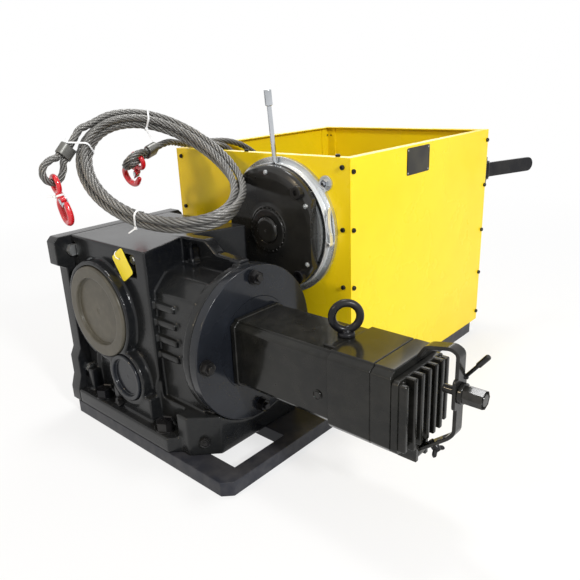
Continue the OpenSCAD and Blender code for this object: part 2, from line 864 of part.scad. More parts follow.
module band_latch() {
    color("#d4d7da")
    translate([brake_x, band_y + band_w / 2, brake_z])
        rotate([0, band_turn, 0])
            translate([latch_r, 0, 0]) {
                bar_y(0, -band_w / 2, 0, latch_pin_r, band_w);
                rotate([0, -latch_swing, 0])
                    translate([latch_pin_r / 2, -latch_w / 2, 0]) cube([latch_t, latch_w, latch_len]);
            }
}
latch_swing = 12;

// Hand lever of the holding brake
lever_lean = 5;
sleeve_r = 8;
sleeve_len = 32;
lever_pivot_y = plate_y - lever_r - air_gap;
lever_pivot_z = brake_z + lever_root + lever_r + air_gap;
module brake_hand_lever() {
    color("#d4d7da")
    translate([brake_x, lever_pivot_y, lever_pivot_z]) {
        sphere(r = lever_r);
        bar_x(-lever_slot / 2 + air_gap, 0, 0, lever_pin_r, lever_slot - 2 * air_gap);
        rotate([lever_lean, 0, 0]) {
            cylinder(h = brake_plate_r - lever_root + lever_len, r = lever_r);
            translate([0, 0, brake_plate_r - lever_root + lever_len - sleeve_len])
                cylinder(h = sleeve_len, r = sleeve_r);
        }
    }
}

// Motor: front section, rear section, ribbed end cover
motor_step = 12;
motor_bore_r = 50;
motor_wall = 16;
motor_bearing_r = 30;
motor_bearing_w = 16;
motor_shaft_r = 15;
rotor_r = 46;
motor_rear_x = flange_x + motor_front_len;
motor_end_x = motor_rear_x + motor_rear_len;
front_step = 6;
top_step = 14;
end_plate = 12;
rib_base_t = 5;
end_rib_t = 9;
side_plug_x = motor_rear_x - 23;
side_plug_drop = 16;
side_plug_r = 9;
side_plug_t = 2;
// Square section with stepped corners, in Y and Z
module motor_section(w, s) {
    h = w / 2;
    translate([mid_y, motor_z])
        polygon([
            [-h + s, -h], [h - s, -h], [h - s / 2, -h + s / 3], [h, -h + s], [h, h - s],
            [h - s / 3, h - s * 2 / 3], [h - s, h - s / 3], [h - s, h], [-h + s, h], [-h + s, h - s / 3],
            [-h + s / 3, h - s * 2 / 3], [-h, h - s], [-h, -h + s], [-h + s / 2, -h + s / 3]
        ]);
}
module motor_housing() {
    color("#202125")
    difference() {
        union() {
            along_x(flange_x, motor_front_len) motor_section(motor_w, motor_step);
            along_x(flange_x, motor_step) motor_section(motor_w + front_step, motor_step);
            bar_y(side_plug_x, mid_y - motor_w / 2 - side_plug_t, motor_z - side_plug_drop,
                side_plug_r, side_plug_t + cut);
        }
        bar_x(flange_x + motor_wall, mid_y, motor_z, motor_bore_r, motor_front_len - motor_wall + cut);
        bar_x(flange_x - cut, mid_y, motor_z, motor_bearing_r + seat_gap, motor_wall + 2 * cut);
        eye_hole();
    }
}
module eye_hole() {
    translate([eye_x, mid_y, motor_z + motor_rear_w / 2 - eye_stud])
        cylinder(h = eye_stud + cut, r = eye_stud_r + seat_gap);
}
module motor_rear_housing() {
    color("#1f2024")
    difference() {
        union() {
            along_x(motor_rear_x, motor_rear_len) motor_section(motor_rear_w, motor_step);
            translate([motor_rear_x - 2 * motor_step, mid_y - motor_rear_w / 2 + 2 * motor_step,
                motor_z + motor_w / 2])
                cube([2 * motor_step + cut, motor_rear_w - 4 * motor_step, (motor_rear_w - motor_w) / 2]);
        }
        bar_x(motor_rear_x - cut, mid_y, motor_z, motor_bearing_r + seat_gap, motor_bearing_w + cut);
        bar_x(motor_rear_x, mid_y, motor_z, motor_shaft_r + air_gap, motor_bearing_w + motor_wall);
        eye_hole();
    }
}
module motor_end_cover() {
    w = motor_rear_w - 2 * rib_base_t;
    color("#232428")
    difference() {
        union() {
            along_x(motor_end_x, end_plate) motor_section(motor_rear_w - 2 * side_plug_t, motor_step);
            for (i = [0:end_rib_count - 1]) {
                y = mid_y - w / 2 + i * (w - end_rib_t) / (end_rib_count - 1);
                translate([motor_end_x + end_plate - cut, y, motor_z - w / 2])
                    cube([motor_end_len - end_plate + cut, end_rib_t, w / 2 + motor_rear_w / 2 - top_step]);
            }
        }
        translate([motor_end_x - cut, mid_y - motor_rear_w / 2 - cut, motor_z + motor_rear_w / 2 - top_step])
            cube([end_plate + 2 * cut, motor_rear_w + 2 * cut, top_step + cut]);
    }
}

// Lifting eye on the motor
eye_r = 24;
eye_bar_r = 7;
eye_collar_r = 15;
eye_collar_h = 8;
eye_stud_r = 8;
eye_stud = 18;
eye_x = motor_rear_x - motor_step;
module motor_eyebolt() {
    z0 = motor_z + motor_rear_w / 2;
    color("#1b1b1d")
    translate([eye_x, mid_y, z0]) {
        cylinder(h = eye_collar_h, r = eye_collar_r);
        translate([0, 0, -eye_stud + air_gap]) cylinder(h = eye_stud, r = eye_stud_r);
        translate([0, 0, eye_collar_h + eye_r + eye_bar_r / 2]) rotate([0, 0, 45]) rotate([90, 0, 0])
            rotate_extrude() translate([eye_r, 0]) circle(r = eye_bar_r);
    }
}

// Rotor with its pinion, and its bearings
pinion_r = 24;
pinion_w = 34;
pinion_teeth = 10;
pinion_tooth = 6;
pinion_x = flange_x - adapter_t - pinion_hole_len + air_gap * 6;
rotor_x = flange_x + 3 * motor_wall;
rotor_len = motor_front_len - 5 * motor_wall;
module motor_rotor() {
    color("#8a8c90") {
        bar_x(pinion_x, mid_y, motor_z, motor_shaft_r,
            motor_rear_x + motor_bearing_w + motor_wall / 2 - pinion_x);
        bar_x(rotor_x, mid_y, motor_z, rotor_r, rotor_len);
        translate([pinion_x, mid_y, motor_z]) rotate([0, 90, 0]) {
            cylinder(h = pinion_w, r = pinion_r);
            for (i = [0:pinion_teeth - 1])
                rotate([0, 0, 360 * i / pinion_teeth])
                    translate([pinion_r - cut, -pinion_tooth / 2, 0])
                        cube([cut + pinion_tooth, pinion_tooth, pinion_w]);
        }
    }
}
module motor_bearings() {
    color("#a9abad")
    for (x = [flange_x, motor_rear_x])
        difference() {
            bar_x(x, mid_y, motor_z, motor_bearing_r, motor_bearing_w);
            bar_x(x - cut, mid_y, motor_z, motor_shaft_r + run_gap, motor_bearing_w + 2 * cut);
        }
}

// Hand release bail round the motor's end, its bracket, knob and wing screw
bail_w = 22;
bail_t = 6;
bail_out = 47;
bail_top = 105;
bail_arm = 65;
bail_drop = 28;
bail_low = 46;
bail_corner = 12;
bail_pivot_x = motor_end_x + 7;
bail_pivot_z = motor_z - 95;
bail_pin_r = 5;
bail_eye_r = 11;
bail_pad_w = 36;
bail_pad_h = 52;
bail_pad_z = 34;
bail_x = motor_end_x + motor_end_len + bail_out;
bail_leg_angle = atan2(motor_z - bail_low - bail_pivot_z, bail_x - bail_corner * 3 / 4 - bail_pivot_x);
module strip(p, q, t) {
    d = q - p;
    translate(p) rotate(atan2(d[1], d[0])) {
        translate([0, -t / 2]) square([norm(d), t]);
        circle(r = t / 2);
        translate([norm(d), 0]) circle(r = t / 2);
    }
}
bail_path = [
    [bail_x - bail_arm, motor_z + bail_top - bail_drop],
    [bail_x - bail_arm + bail_corner, motor_z + bail_top - bail_corner * 2 / 3],
    [bail_x - bail_corner, motor_z + bail_top], [bail_x, motor_z + bail_top - bail_corner / 2],
    [bail_x, motor_z - bail_low + bail_corner], [bail_x - bail_corner * 3 / 4, motor_z - bail_low],
    [bail_pivot_x, bail_pivot_z]
];
module bail_profile() {
    difference() {
        union() {
            for (i = [0:len(bail_path) - 2]) strip(bail_path[i], bail_path[i + 1], bail_t);
            translate([bail_pivot_x, bail_pivot_z]) circle(r = bail_eye_r);
        }
        translate([bail_pivot_x, bail_pivot_z]) circle(r = bail_pin_r + run_gap);
    }
}
module release_bail() {
    color("#1d1e21")
    difference() {
        union() {
            along_y(mid_y - bail_w / 2, bail_w) bail_profile();
            translate([bail_x - bail_t / 2, mid_y - bail_pad_w / 2, motor_z + bail_pad_z - bail_pad_h / 2])
                cube([bail_t, bail_pad_w, bail_pad_h]);
            translate([bail_x + bail_t / 2 - cut, mid_y + bail_pad_w * 2 / 5,
                motor_z + bail_pad_z + bail_pad_h * 3 / 8])
                rotate([0, rod_lean, 0]) {
                    cylinder(h = rod_len, r = rod_r);
                    translate([0, 0, rod_len - rod_sleeve]) cylinder(h = rod_sleeve, r = rod_sleeve_r);
                }
        }
        bar_x(bail_x - bail_t, mid_y, motor_z + bail_pad_z, knob_shank_r + run_gap, 2 * bail_t);
        at_wing() translate([0, 0, -bail_t]) cylinder(h = 2 * bail_t, r = wing_shank_r + run_gap);
    }
}
rod_lean = 38;
rod_len = 56;
rod_r = 3;
rod_sleeve = 24;
rod_sleeve_r = 4.5;
knob_shank_r = 7;
knob_flange_r = 17;
knob_flange = 7;
knob_r = 15;
knob_len = 32;
knob_inner = 22;
module release_knob() {
    z = motor_z + bail_pad_z;
    x = bail_x + bail_t / 2 + seat_gap;
    color("#2a2b2e") {
        bar_x(x, mid_y, z, knob_flange_r, knob_flange);
        translate([x + knob_flange, mid_y, z]) rotate([0, 90, 0]) cylinder(h = knob_len, r = knob_r, $fn = 8);
        bar_x(x - bail_t - knob_inner, mid_y, z, knob_shank_r, bail_t + knob_inner + cut);
    }
}
bracket_w = 8;
bracket_x = 24;
module bail_bracket() {
    top = motor_z - motor_rear_w / 2;
    color("#202125") {
        for (s = [-1, 1])
            translate([bail_pivot_x - bracket_x, mid_y + s * (bail_w / 2 + seat_gap) + (s < 0 ? -bracket_w : 0), bail_pivot_z - bail_eye_r])
                cube([bracket_x + bail_eye_r, bracket_w, top - bail_pivot_z + bail_eye_r]);
        bar_y(bail_pivot_x, mid_y - bail_w / 2 - bracket_w, bail_pivot_z, bail_pin_r, bail_w + 2 * bracket_w);
    }
}
wing_along_share = 0.5;
wing_hub_r = 7;
wing_hub = 12;
wing_len = 17;
wing_t = 4;
wing_shank_r = 4;
wing_inner = 3;
// Middle of the bail's lower leg, with local Z square to it and pointing out
module at_wing() {
    x = bail_pivot_x + wing_along_share * (bail_path[5][0] - bail_pivot_x);
    z = bail_pivot_z + wing_along_share * (bail_path[5][1] - bail_pivot_z);
    translate([x, mid_y, z]) rotate([0, 180 - bail_leg_angle, 0]) children();
}
module wing_screw() {
    color("#2a2b2e")
    at_wing() {
        translate([0, 0, bail_t / 2 + seat_gap]) {
            cylinder(h = wing_hub, r = wing_hub_r);
            for (s = [0, 1])
                translate([-wing_t / 2, s == 0 ? 0 : -wing_len, wing_hub / 3])
                    cube([wing_t, wing_len, wing_hub]);
        }
        translate([0, 0, -bail_t / 2 - wing_inner])
            cylinder(h = bail_t + wing_inner + seat_gap + cut, r = wing_shank_r);
    }
}

// Yellow cover: four sheets with lips, corner angles and screws
hole_gap = 10;
module sheet_front() {
    difference() {
        union() {
            translate([box_x + sheet_t, box_y, base_t]) cube([box_w - 2 * sheet_t, sheet_t, box_h]);
            translate([box_x + sheet_t, box_y, box_top - sheet_t]) cube([box_w - 2 * sheet_t, lip_w, sheet_t]);
        }
        bar_y(axis_x, box_y - cut, axis_z, shaft_r + hole_gap, sheet_t + 2 * cut);
        bar_y(brake_x, box_y - cut, brake_z, brake_shaft_r + hole_gap, sheet_t + 2 * cut);
        ring_places(4, 45, brake_screw_pitch, box_y + sheet_t + cut)
            cylinder(h = sheet_t + 2 * cut, r = brake_screw_r + seat_gap);
        cover_screw_places("front") screw_hole();
        cover_screw_places("top") screw_hole();
    }
}
module cover_front() {
    color("#f5d800") sheet_front();
}
module cover_rear() {
    y = box_y + box_len - sheet_t;
    color("#f5d800")
    difference() {
        union() {
            translate([box_x + sheet_t, y, base_t]) cube([box_w - 2 * sheet_t, sheet_t, box_h]);
            translate([box_x + sheet_t, y + sheet_t - lip_w, box_top - sheet_t])
                cube([box_w - 2 * sheet_t, lip_w, sheet_t]);
        }
        cover_screw_places("rear") screw_hole();
        lever_screw_places() screw_hole();
    }
}
module side_sheet(x, inward) {
    difference() {
        union() {
            translate([x, box_y, base_t]) cube([sheet_t, box_len, box_h]);
            translate([inward > 0 ? x : x + sheet_t - lip_w, box_y + lip_w + seat_gap, box_top - sheet_t])
                cube([lip_w, box_len - 2 * lip_w - 2 * seat_gap, sheet_t]);
        }
        children();
    }
}
module cover_left() {
    color("#f5d800") side_sheet(box_x, 1) cover_screw_places("left") screw_hole();
}
module cover_right() {
    color("#f5d800") side_sheet(box_x + box_w - sheet_t, -1) cover_screw_places("right") screw_hole();
}
post_t = 3;
screw_r = 3;
screw_head_r = 5;
screw_head = 5;
screw_in = 19;
side_screw_in = 8;
front_screw_shares = [0.035, 0.27, 0.5, 0.73, 0.965];
side_screw_shares = [0.05, 0.27, 0.5, 0.73, 0.95];
rear_screw_shares = [0.03, 0.49, 0.95];
top_screw_share = 0.45;
module screw_hole() {
    translate([0, 0, -sheet_t - post_t - cut])
        cylinder(h = sheet_t + post_t + 2 * cut, r = screw_r + seat_gap / 2);
}
module screw_body() {
    cylinder(h = screw_head, r = screw_head_r, $fn = 24);
    translate([0, 0, -sheet_t - post_t]) cylinder(h = sheet_t + post_t, r = screw_r);
}
// Places of the cover screws on one side, each with its head pointing out
module cover_screw_places(side) {
    x1 = box_x + box_w;
    y1 = box_y + box_len;
    if (side == "front" || side == "rear")
        for (share = side == "front" ? front_screw_shares : rear_screw_shares)
            for (x = [box_x + screw_in, x1 - screw_in])
                translate([x, side == "front" ? box_y : y1, base_t + share * box_h])
                    rotate([side == "front" ? 90 : -90, 0, 0]) children();
    if (side == "left" || side == "right")
        for (share = side_screw_shares)
            for (y = [box_y + side_screw_in, y1 - side_screw_in])
                translate([side == "left" ? box_x : x1, y, base_t + share * box_h])
                    rotate([0, side == "left" ? -90 : 90, 0]) children();
    if (side == "top")
        for (x = [x1 - 2 * screw_in, box_x + top_screw_share * box_w])
            translate([x, box_y + lip_w / 2, box_top]) children();
}
module corner_post() {
    difference() {
        cube([post_leg, post_leg, box_h - sheet_t - seat_gap]);
        translate([post_t, post_t, -cut]) cube([post_leg, post_leg, box_h]);
    }
}
module corner_posts() {
    x0 = box_x + sheet_t;
    y0 = box_y + sheet_t;
    color("#d9b800")
    difference() {
        for (sx = [0, 1])
            for (sy = [0, 1])
                translate([sx == 0 ? x0 : x0 + box_w - 2 * sheet_t,
                    sy == 0 ? y0 : y0 + box_len - 2 * sheet_t, base_t])
                    mirror([sx, 0, 0]) mirror([0, sy, 0]) corner_post();
        for (side = ["front", "rear", "left", "right"])
            cover_screw_places(side) screw_hole();
    }
}
module cover_screws() {
    color("#1a1a1a")
    union() {
        for (side = ["front", "rear", "left", "right", "top"])
            cover_screw_places(side) screw_body();
        lever_screw_places() translate([0, 0, ear_t]) screw_body();
    }
}
plate_w = 98;
plate_h = 60;
plate_t = 1.5;
plate_corner = 4;
plate_from_front = 259;
plate_below_top = 35;
module nameplate() {
    color("#1d1a12")
    along_x(box_x + box_w, plate_t)
        translate([box_y + plate_from_front - plate_w / 2 + plate_corner,
            box_top - plate_below_top - plate_h / 2 + plate_corner])
            offset_rect(plate_w - 2 * plate_corner, plate_h - 2 * plate_corner, plate_corner);
}

// Flat bar lever on the rear of the cover
bar_z = 430;
bar_in = 9;
pivot_out = 18;
pivot_r = 6;
ear_t = 5;
ear_w = 34;
lever_plate_w = 46;
lever_plate_h = 74;
lever_screw_step = 31;
lever_screw_in = 14;
pivot_x = box_x + box_w - bar_in;
pivot_y = box_y + box_len + pivot_out;
module lever_screw_places() {
    for (s = [-1, 1])
        translate([pivot_x - lever_screw_in, box_y + box_len, base_t + bar_z + s * lever_screw_step])
            rotate([-90, 0, 0]) children();
}
module side_lever() {
    color("#232323")
    translate([pivot_x, pivot_y, base_t + bar_z]) rotate([0, 0, 90 - bar_angle])
        difference() {
            union() {
                translate([-pivot_r * 5 / 3, -bar_t / 2, -bar_h / 2])
                    cube([bar_len - bar_h / 2 + pivot_r * 5 / 3, bar_t, bar_h]);
                translate([bar_len - bar_h / 2, bar_t / 2, 0]) rotate([90, 0, 0])
                    cylinder(h = bar_t, r = bar_h / 2);
                translate([0, 0, -bar_h / 2]) cylinder(h = bar_h, r = pivot_r * 5 / 3);
            }
            translate([0, 0, -bar_h / 2 - cut]) cylinder(h = bar_h + 2 * cut, r = pivot_r + run_gap);
        }
}
module lever_bracket() {
    y = box_y + box_len;
    color("#2b2c2f")
    difference() {
        translate([pivot_x, 0, base_t + bar_z])
            union() {
                translate([bar_in - lever_plate_w, y, -lever_plate_h / 2])
                    cube([lever_plate_w, ear_t, lever_plate_h]);
                for (s = [-1, 1])
                    translate([0, 0, s * (bar_h / 2 + seat_gap) + (s < 0 ? -ear_t : 0)]) {
                        translate([-ear_w / 4, y + ear_t - cut, 0])
                            cube([ear_w / 2, pivot_out - ear_t + cut, ear_t]);
                        translate([0, pivot_y, 0]) cylinder(h = ear_t, r = ear_w / 4);
                    }
                translate([0, pivot_y, -bar_h / 2 - ear_t - seat_gap])
                    cylinder(h = bar_h + 2 * ear_t + 2 * seat_gap, r = pivot_r);
            }
        lever_screw_places() translate([0, 0, -cut]) cylinder(h = ear_t + 2 * cut, r = screw_r + seat_gap / 2);
    }
}

// Wire ropes: a tube swept along points, with its rings held square to the route
rope_r = rope_d / 2;
lead_sides = 8;
coil_sides = 6;
function unit(v) = v / norm(v);
function along(p, i) = unit(p[min(i + 1, len(p) - 1)] - p[max(i - 1, 0)]);
function ring_of(p, i, r, sides, side_way) =
    let (t = along(p, i), v = unit(cross(t, side_way)), u = cross(v, t))
    [for (k = [0:sides - 1]) p[i] + r * (cos(360 * k / sides) * u + sin(360 * k / sides) * v)];
function tube_faces(n, s) = concat(
    [for (i = [0:n - 2], k = [0:s - 1]) each [
        [i * s + k, (i + 1) * s + k, (i + 1) * s + (k + 1) % s],
        [i * s + k, (i + 1) * s + (k + 1) % s, i * s + (k + 1) % s]
    ]],
    [for (k = [1:s - 2]) [0, k, k + 1]],
    [for (k = [1:s - 2]) [(n - 1) * s, (n - 1) * s + k + 1, (n - 1) * s + k]]
);
module tube(p, r, sides, side_ways) {
    n = len(p);
    polyhedron(
        points = [for (i = [0:n - 1]) each ring_of(p, i, r, sides, side_ways[min(i, len(side_ways) - 1)])],
        faces = tube_faces(n, sides)
    );
}
// Least gap between two stretches of one tube that lie more than skip rings apart
function to_line(q, a, b) =
    let (ab = b - a, s = max(0, min(1, (q - a) * ab / (ab * ab))))
    norm(q - a - s * ab);
function self_gap(p, r, skip) =
    min([for (i = [0:len(p) - 1], j = [0:len(p) - 2]) if (abs(i - j) > skip)
        to_line(p[i], p[j], p[j + 1])]) - 2 * r;

// Large coil of rope A in front of the cover: an oval that spirals in, climbs and spirals out
coil_rings = 24;
coil_turns = 3.215;
coil_climb = 0.5;
coil_pitch = 19;
coil_spread = 26;
coil_centre = [-89, -294, 538];
coil_cos = [-63, 117, 70];
coil_sin = [153, 72, -65];
coil_cos_two = [-11, 16, -6];
coil_sin_two = [-6, 3, -12];
function oval(a) = coil_centre + coil_cos * cos(a) + coil_sin * sin(a)
    + coil_cos_two * cos(2 * a) + coil_sin_two * sin(2 * a);
function oval_way(a) = unit(-coil_cos * sin(a) + coil_sin * cos(a)
    - 2 * coil_cos_two * sin(2 * a) + 2 * coil_sin_two * cos(2 * a));
function oval_out(a) = let (e = unit(oval(a) - coil_centre), t = oval_way(a)) unit(e - (e * t) * t);
function oval_up(a) = unit(cross(oval_way(a), oval_out(a)));
function coil_in(t) = let (half = (coil_turns - coil_climb) / 2)
    t < half ? coil_spread / 2 - coil_spread * t / half
    : t < half + coil_climb ? -coil_spread / 2
    : -coil_spread / 2 + coil_spread * (t - half - coil_climb) / half;
function coil_rise(t) = let (half = (coil_turns - coil_climb) / 2)
    coil_pitch * max(0, min(1, (t - half) / coil_climb));
function coil_point(t) = let (a = -360 * t) oval(a) + coil_in(t) * oval_out(a) + coil_rise(t) * oval_up(a);
coil_count = floor(coil_turns * coil_rings);
coil_run = [for (i = [0:coil_count]) coil_point(i / coil_rings)];
coil_first = coil_run[0] - rope_d * unit(coil_run[1] - coil_run[0]);
coil_last = coil_run[coil_count] + rope_d * unit(coil_run[coil_count] - coil_run[coil_count - 1]);
coil_points = concat([coil_first], coil_run, [coil_last]);
coil_ways = concat([oval_up(0)],
    [for (i = [0:coil_count]) oval_up(-360 * i / coil_rings)], [oval_up(-360 * coil_turns)]);
module rope_coil_a() {
    color("#8b8c88") tube(coil_points, rope_r, coil_sides, coil_ways);
}

// Rope A from the drum over the top edge of the cover to the coil, and its tail to the hook
lane_x = axis_x - drum_r - rope_r - seat_gap;
lead_a_route = [
    [-133, -106, 583], [-129, -80, 576], [-130, -54, 558], [-138, -30, 525], [-154, -6, 485],
    [-172, 20, 450], [-192, 44, 418], [-206, 57, 384], [-215, 58, 348], [lane_x, 58, 310], [lane_x, 58, 276]
];
lead_a_points = concat([coil_first, coil_first - rope_d * unit(coil_run[1] - coil_run[0])], lead_a_route);
module rope_lead_a() {
    color("#8b8c88") tube(lead_a_points, rope_r, lead_sides, [[1, -1, 0]]);
}
tail_a_end = [-236, -411, 620];
tail_a_way = unit([0, -0.7, -0.71]);
tail_a_points = concat([coil_last, coil_last + rope_d * unit(coil_run[coil_count] - coil_run[coil_count - 1])],
                       [tail_a_end, tail_a_end + rope_d * tail_a_way]);
module rope_tail_a() {
    color("#8b8c88") tube(tail_a_points, rope_r, lead_sides, [[1, 0, 0]]);
}

// Rope B from the drum over the top edge of the cover to its own hook
lead_b_route = [
    [lane_x, 246, 276], [lane_x, 246, 310], [-220, 246, 345], [-224, 244, 382], [-228, 232, 418],
    [-232, 208, 455], [-235, 178, 490], [-236, 146, 520], [-236, 110, 545], [-236, 72, 563],
    [-237, 32, 574], [-239, -8, 578], [-241, -48, 579], [-239, -86, 579], [-229, -121, 583],
    [-214, -155, 590], [-198, -188, 595]
];
lead_b_end = [-188, -222, 592];
lead_b_way = unit([0.02, -0.955, -0.297]);
lead_b_points = concat(lead_b_route, [lead_b_end, lead_b_end + rope_d * lead_b_way]);
module rope_lead_b() {
    color("#8b8c88") tube(lead_b_points, rope_r, lead_sides, [[1, 0, 0.3]]);
}

// Rope eyes: a ferrule and a drop-shaped loop in the plane of the rope's end
eye_half = 22;
eye_len = 70;
eye_rings = 16;
eye_arc = 204;
leg_share = 0.75;
ferrule_len = 26;
ferrule_half = 19;
ferrule_r = 11;
// Puts its children at a point: local -Z along one way, local X along another, made square to it
module at_end(end, way, cross_way) {
    z = -way;
    x = unit(cross_way - (cross_way * z) * z);
    y = cross(z, x);
    multmatrix([
        [x[0], y[0], z[0], end[0]], [x[1], y[1], z[1], end[1]], [x[2], y[2], z[2], end[2]], [0, 0, 0, 1]
    ]) children();
}
// Drop outline: two legs that leave the ferrule side by side and a round end
drop_round = eye_len - eye_half - rope_r;
function drop_points() =
    let (c = -ferrule_len - drop_round, leg_z = -ferrule_len - drop_round / 2, start = rope_r + seat_gap)
    concat(
        [[start, 0, -ferrule_len], [start, 0, -ferrule_len - rope_r], [eye_half * leg_share, 0, leg_z]],
        [for (i = [0:eye_rings]) let (a = eye_arc / 2 - 90 - eye_arc * i / eye_rings)
            [eye_half * cos(a), 0, c + eye_half * sin(a)]],
        [[-eye_half * leg_share, 0, leg_z], [-start, 0, -ferrule_len - rope_r], [-start, 0, -ferrule_len]]
    );
module rope_eye() {
    tube(drop_points(), rope_r - seat_gap, lead_sides, [[0, 1, 0]]);
}
module ferrule() {
    h = ferrule_half - ferrule_r;
    translate([0, 0, -ferrule_len])
        linear_extrude(ferrule_len) {
            for (s = [-1, 1]) translate([s * h, 0]) circle(r = ferrule_r);
            translate([-h, -ferrule_r]) square([2 * h, 2 * ferrule_r]);
        }
}
end_a = tail_a_end + rope_d * tail_a_way;
end_b = lead_b_end + rope_d * lead_b_way;
hook_a_way = unit([0.27, 0.08, -0.96]);
hook_b_way = unit([-0.78, 0.17, -0.6]);
hook_a_side = [0.95, -0.17, 0.24];
hook_b_side = [0.63, 0.24, -0.74];
loop_a_side = [0, 0.7, -0.7];
module rope_eyes() {
    color("#8b8c88") {
        at_end(end_a, tail_a_way, loop_a_side) rope_eye();
        at_end(end_b, lead_b_way, hook_b_way) rope_eye();
    }
}
module rope_ferrules() {
    color("#3c3d3e") {
        at_end(end_a, tail_a_way, loop_a_side) ferrule();
        at_end(end_b, lead_b_way, hook_b_way) ferrule();
    }
}

// Hooks, drawn in local X and Z: an eye, a shank and a long bowl whose tip points up
hook_eye_r = 17.5;
hook_eye_bar_r = 5.5;
hook_top = 30;
bowl_r = 22;
bowl_stretch = 10;
bowl_bar_r = 7;
shank_r = 8;
tip_len = 16;
tip_r = 6.5;
lug_out = 9;
lug_half = 6;
latch_bolt_r = 2.5;
hook_latch_t = 2;
hook_a_drop = 1;
hook_b_drop = 0.4;
hook_hang = hook_eye_r - hook_eye_bar_r - rope_r - air_gap + hook_a_drop;
bowl_z = -hook_top - bowl_r;
bowl_low = bowl_z - bowl_stretch;
hook_pivot = [lug_out, -hook_top - lug_half + air_gap];
hook_tip = [bowl_r, bowl_low + tip_len];
// A quarter or more of a ring in local X and Z, from one angle over another
module ring_arc(z, r, bar, from, over) {
    translate([0, 0, z]) rotate([90, 0, 0]) rotate([0, 0, from])
        rotate_extrude(angle = over, $fn = 32) translate([r, 0]) circle(r = bar, $fn = 16);
}
module hook() {
    difference() {
        union() {
            ring_arc(0, hook_eye_r, hook_eye_bar_r, 0, 360);
            translate([0, 0, -hook_top]) cylinder(h = hook_top - hook_eye_r, r = shank_r, $fn = 24);
            translate([0, 0, -hook_top]) sphere(r = shank_r, $fn = 24);
            ring_arc(bowl_z, bowl_r, bowl_bar_r, 90, 90);
            ring_arc(bowl_low, bowl_r, bowl_bar_r, 180, 180);
            translate([-bowl_r, 0, bowl_low]) cylinder(h = bowl_stretch, r = bowl_bar_r, $fn = 16);
            translate([bowl_r, 0, bowl_low]) cylinder(h = tip_len, r = bowl_bar_r, $fn = 16);
            translate([hook_tip[0], 0, hook_tip[1]]) sphere(r = bowl_bar_r, $fn = 16);
            bar_y(hook_pivot[0], -lug_half, hook_pivot[1], lug_half, 2 * lug_half);
        }
        bar_y(hook_pivot[0], -2 * lug_half, hook_pivot[1], latch_bolt_r + run_gap, 4 * lug_half);
    }
}
latch_end = [bowl_r - bowl_bar_r - hook_latch_t / 2 - seat_gap, hook_tip[1] - tip_r / 2];
module hook_latch() {
    reach = latch_end - hook_pivot;
    cheek_y = lug_half + seat_gap;
    bar_y(hook_pivot[0], -cheek_y - hook_latch_t, hook_pivot[1], latch_bolt_r, 2 * (cheek_y + hook_latch_t));
    translate([hook_pivot[0], 0, hook_pivot[1]])
        rotate([0, -atan2(reach[1], reach[0]), 0]) {
            for (s = [-1, 1])
                translate([0, s > 0 ? cheek_y : -cheek_y - hook_latch_t, 0]) {
                    bar_y(0, 0, 0, lug_half - air_gap, hook_latch_t);
                    translate([0, 0, -hook_latch_t * 3 / 2])
                        cube([lug_half + seat_gap + hook_latch_t, hook_latch_t, hook_latch_t * 5 / 2]);
                }
            translate([lug_half + seat_gap, -cheek_y - hook_latch_t, -hook_latch_t / 2])
                cube([norm(reach) - lug_half, 2 * (cheek_y + hook_latch_t), hook_latch_t]);
        }
}
// Hook A hangs in the round end of its rope eye, hook B on one leg of its own
module at_hook_a() {
    n = unit(cross(tail_a_way, loop_a_side));
    down = unit(hook_a_way - (hook_a_way * n) * n);
    at_end(end_a + (ferrule_len + drop_round) * tail_a_way + eye_half * down + hook_hang * hook_a_way,
           hook_a_way, hook_a_side) children();
}
module at_hook_b() {
    at_end(end_b + (ferrule_len + drop_round / 2) * lead_b_way
        + (eye_half * leg_share + air_gap + hook_b_drop) * hook_b_way,
           hook_b_way, hook_b_side) children();
}
module rope_hooks() {
    color("#d8161e") {
        at_hook_a() hook();
        at_hook_b() hook();
    }
}
module hook_a_latch() {
    color("#b4b7ba") at_hook_a() hook_latch();
}
module hook_b_latch() {
    color("#b4b7ba") at_hook_b() hook_latch();
}
// Rope wound on the drum: one layer in each half, over the plain drum
winding_r = drum_r + rope_r + seat_gap;
lane_from_flange = 10;
winding_from = lane_from_flange + rope_d + air_gap;
winding_step = (compartment - winding_from - rope_r - air_gap) / drum_turns;
function winding_turns(y0) = [for (i = [0:drum_turns * coil_rings])
    let (a = 360 * i / coil_rings)
    [axis_x + winding_r * cos(a), y0 + winding_step * i / coil_rings, axis_z + winding_r * sin(a)]];
function with_ends(p) = let (n = len(p) - 1)
    concat([p[0] - rope_d * unit(p[1] - p[0])], p, [p[n] + rope_d * unit(p[n] - p[n - 1])]);
winding_a = with_ends(winding_turns(drum_y + drum_flange_t + winding_from));
winding_b = with_ends(winding_turns(drum_y + 2 * drum_flange_t + compartment + winding_from));
module drum_rope() {
    color("#84857f") {
        tube(winding_a, rope_r, coil_sides, [[0, 1, 0]]);
        tube(winding_b, rope_r, coil_sides, [[0, 1, 0]]);
    }
}
echo(least_gap_coil = self_gap(coil_points, rope_r, coil_rings / 2));
echo(least_gap_winding = self_gap(winding_a, rope_r, coil_rings / 2));

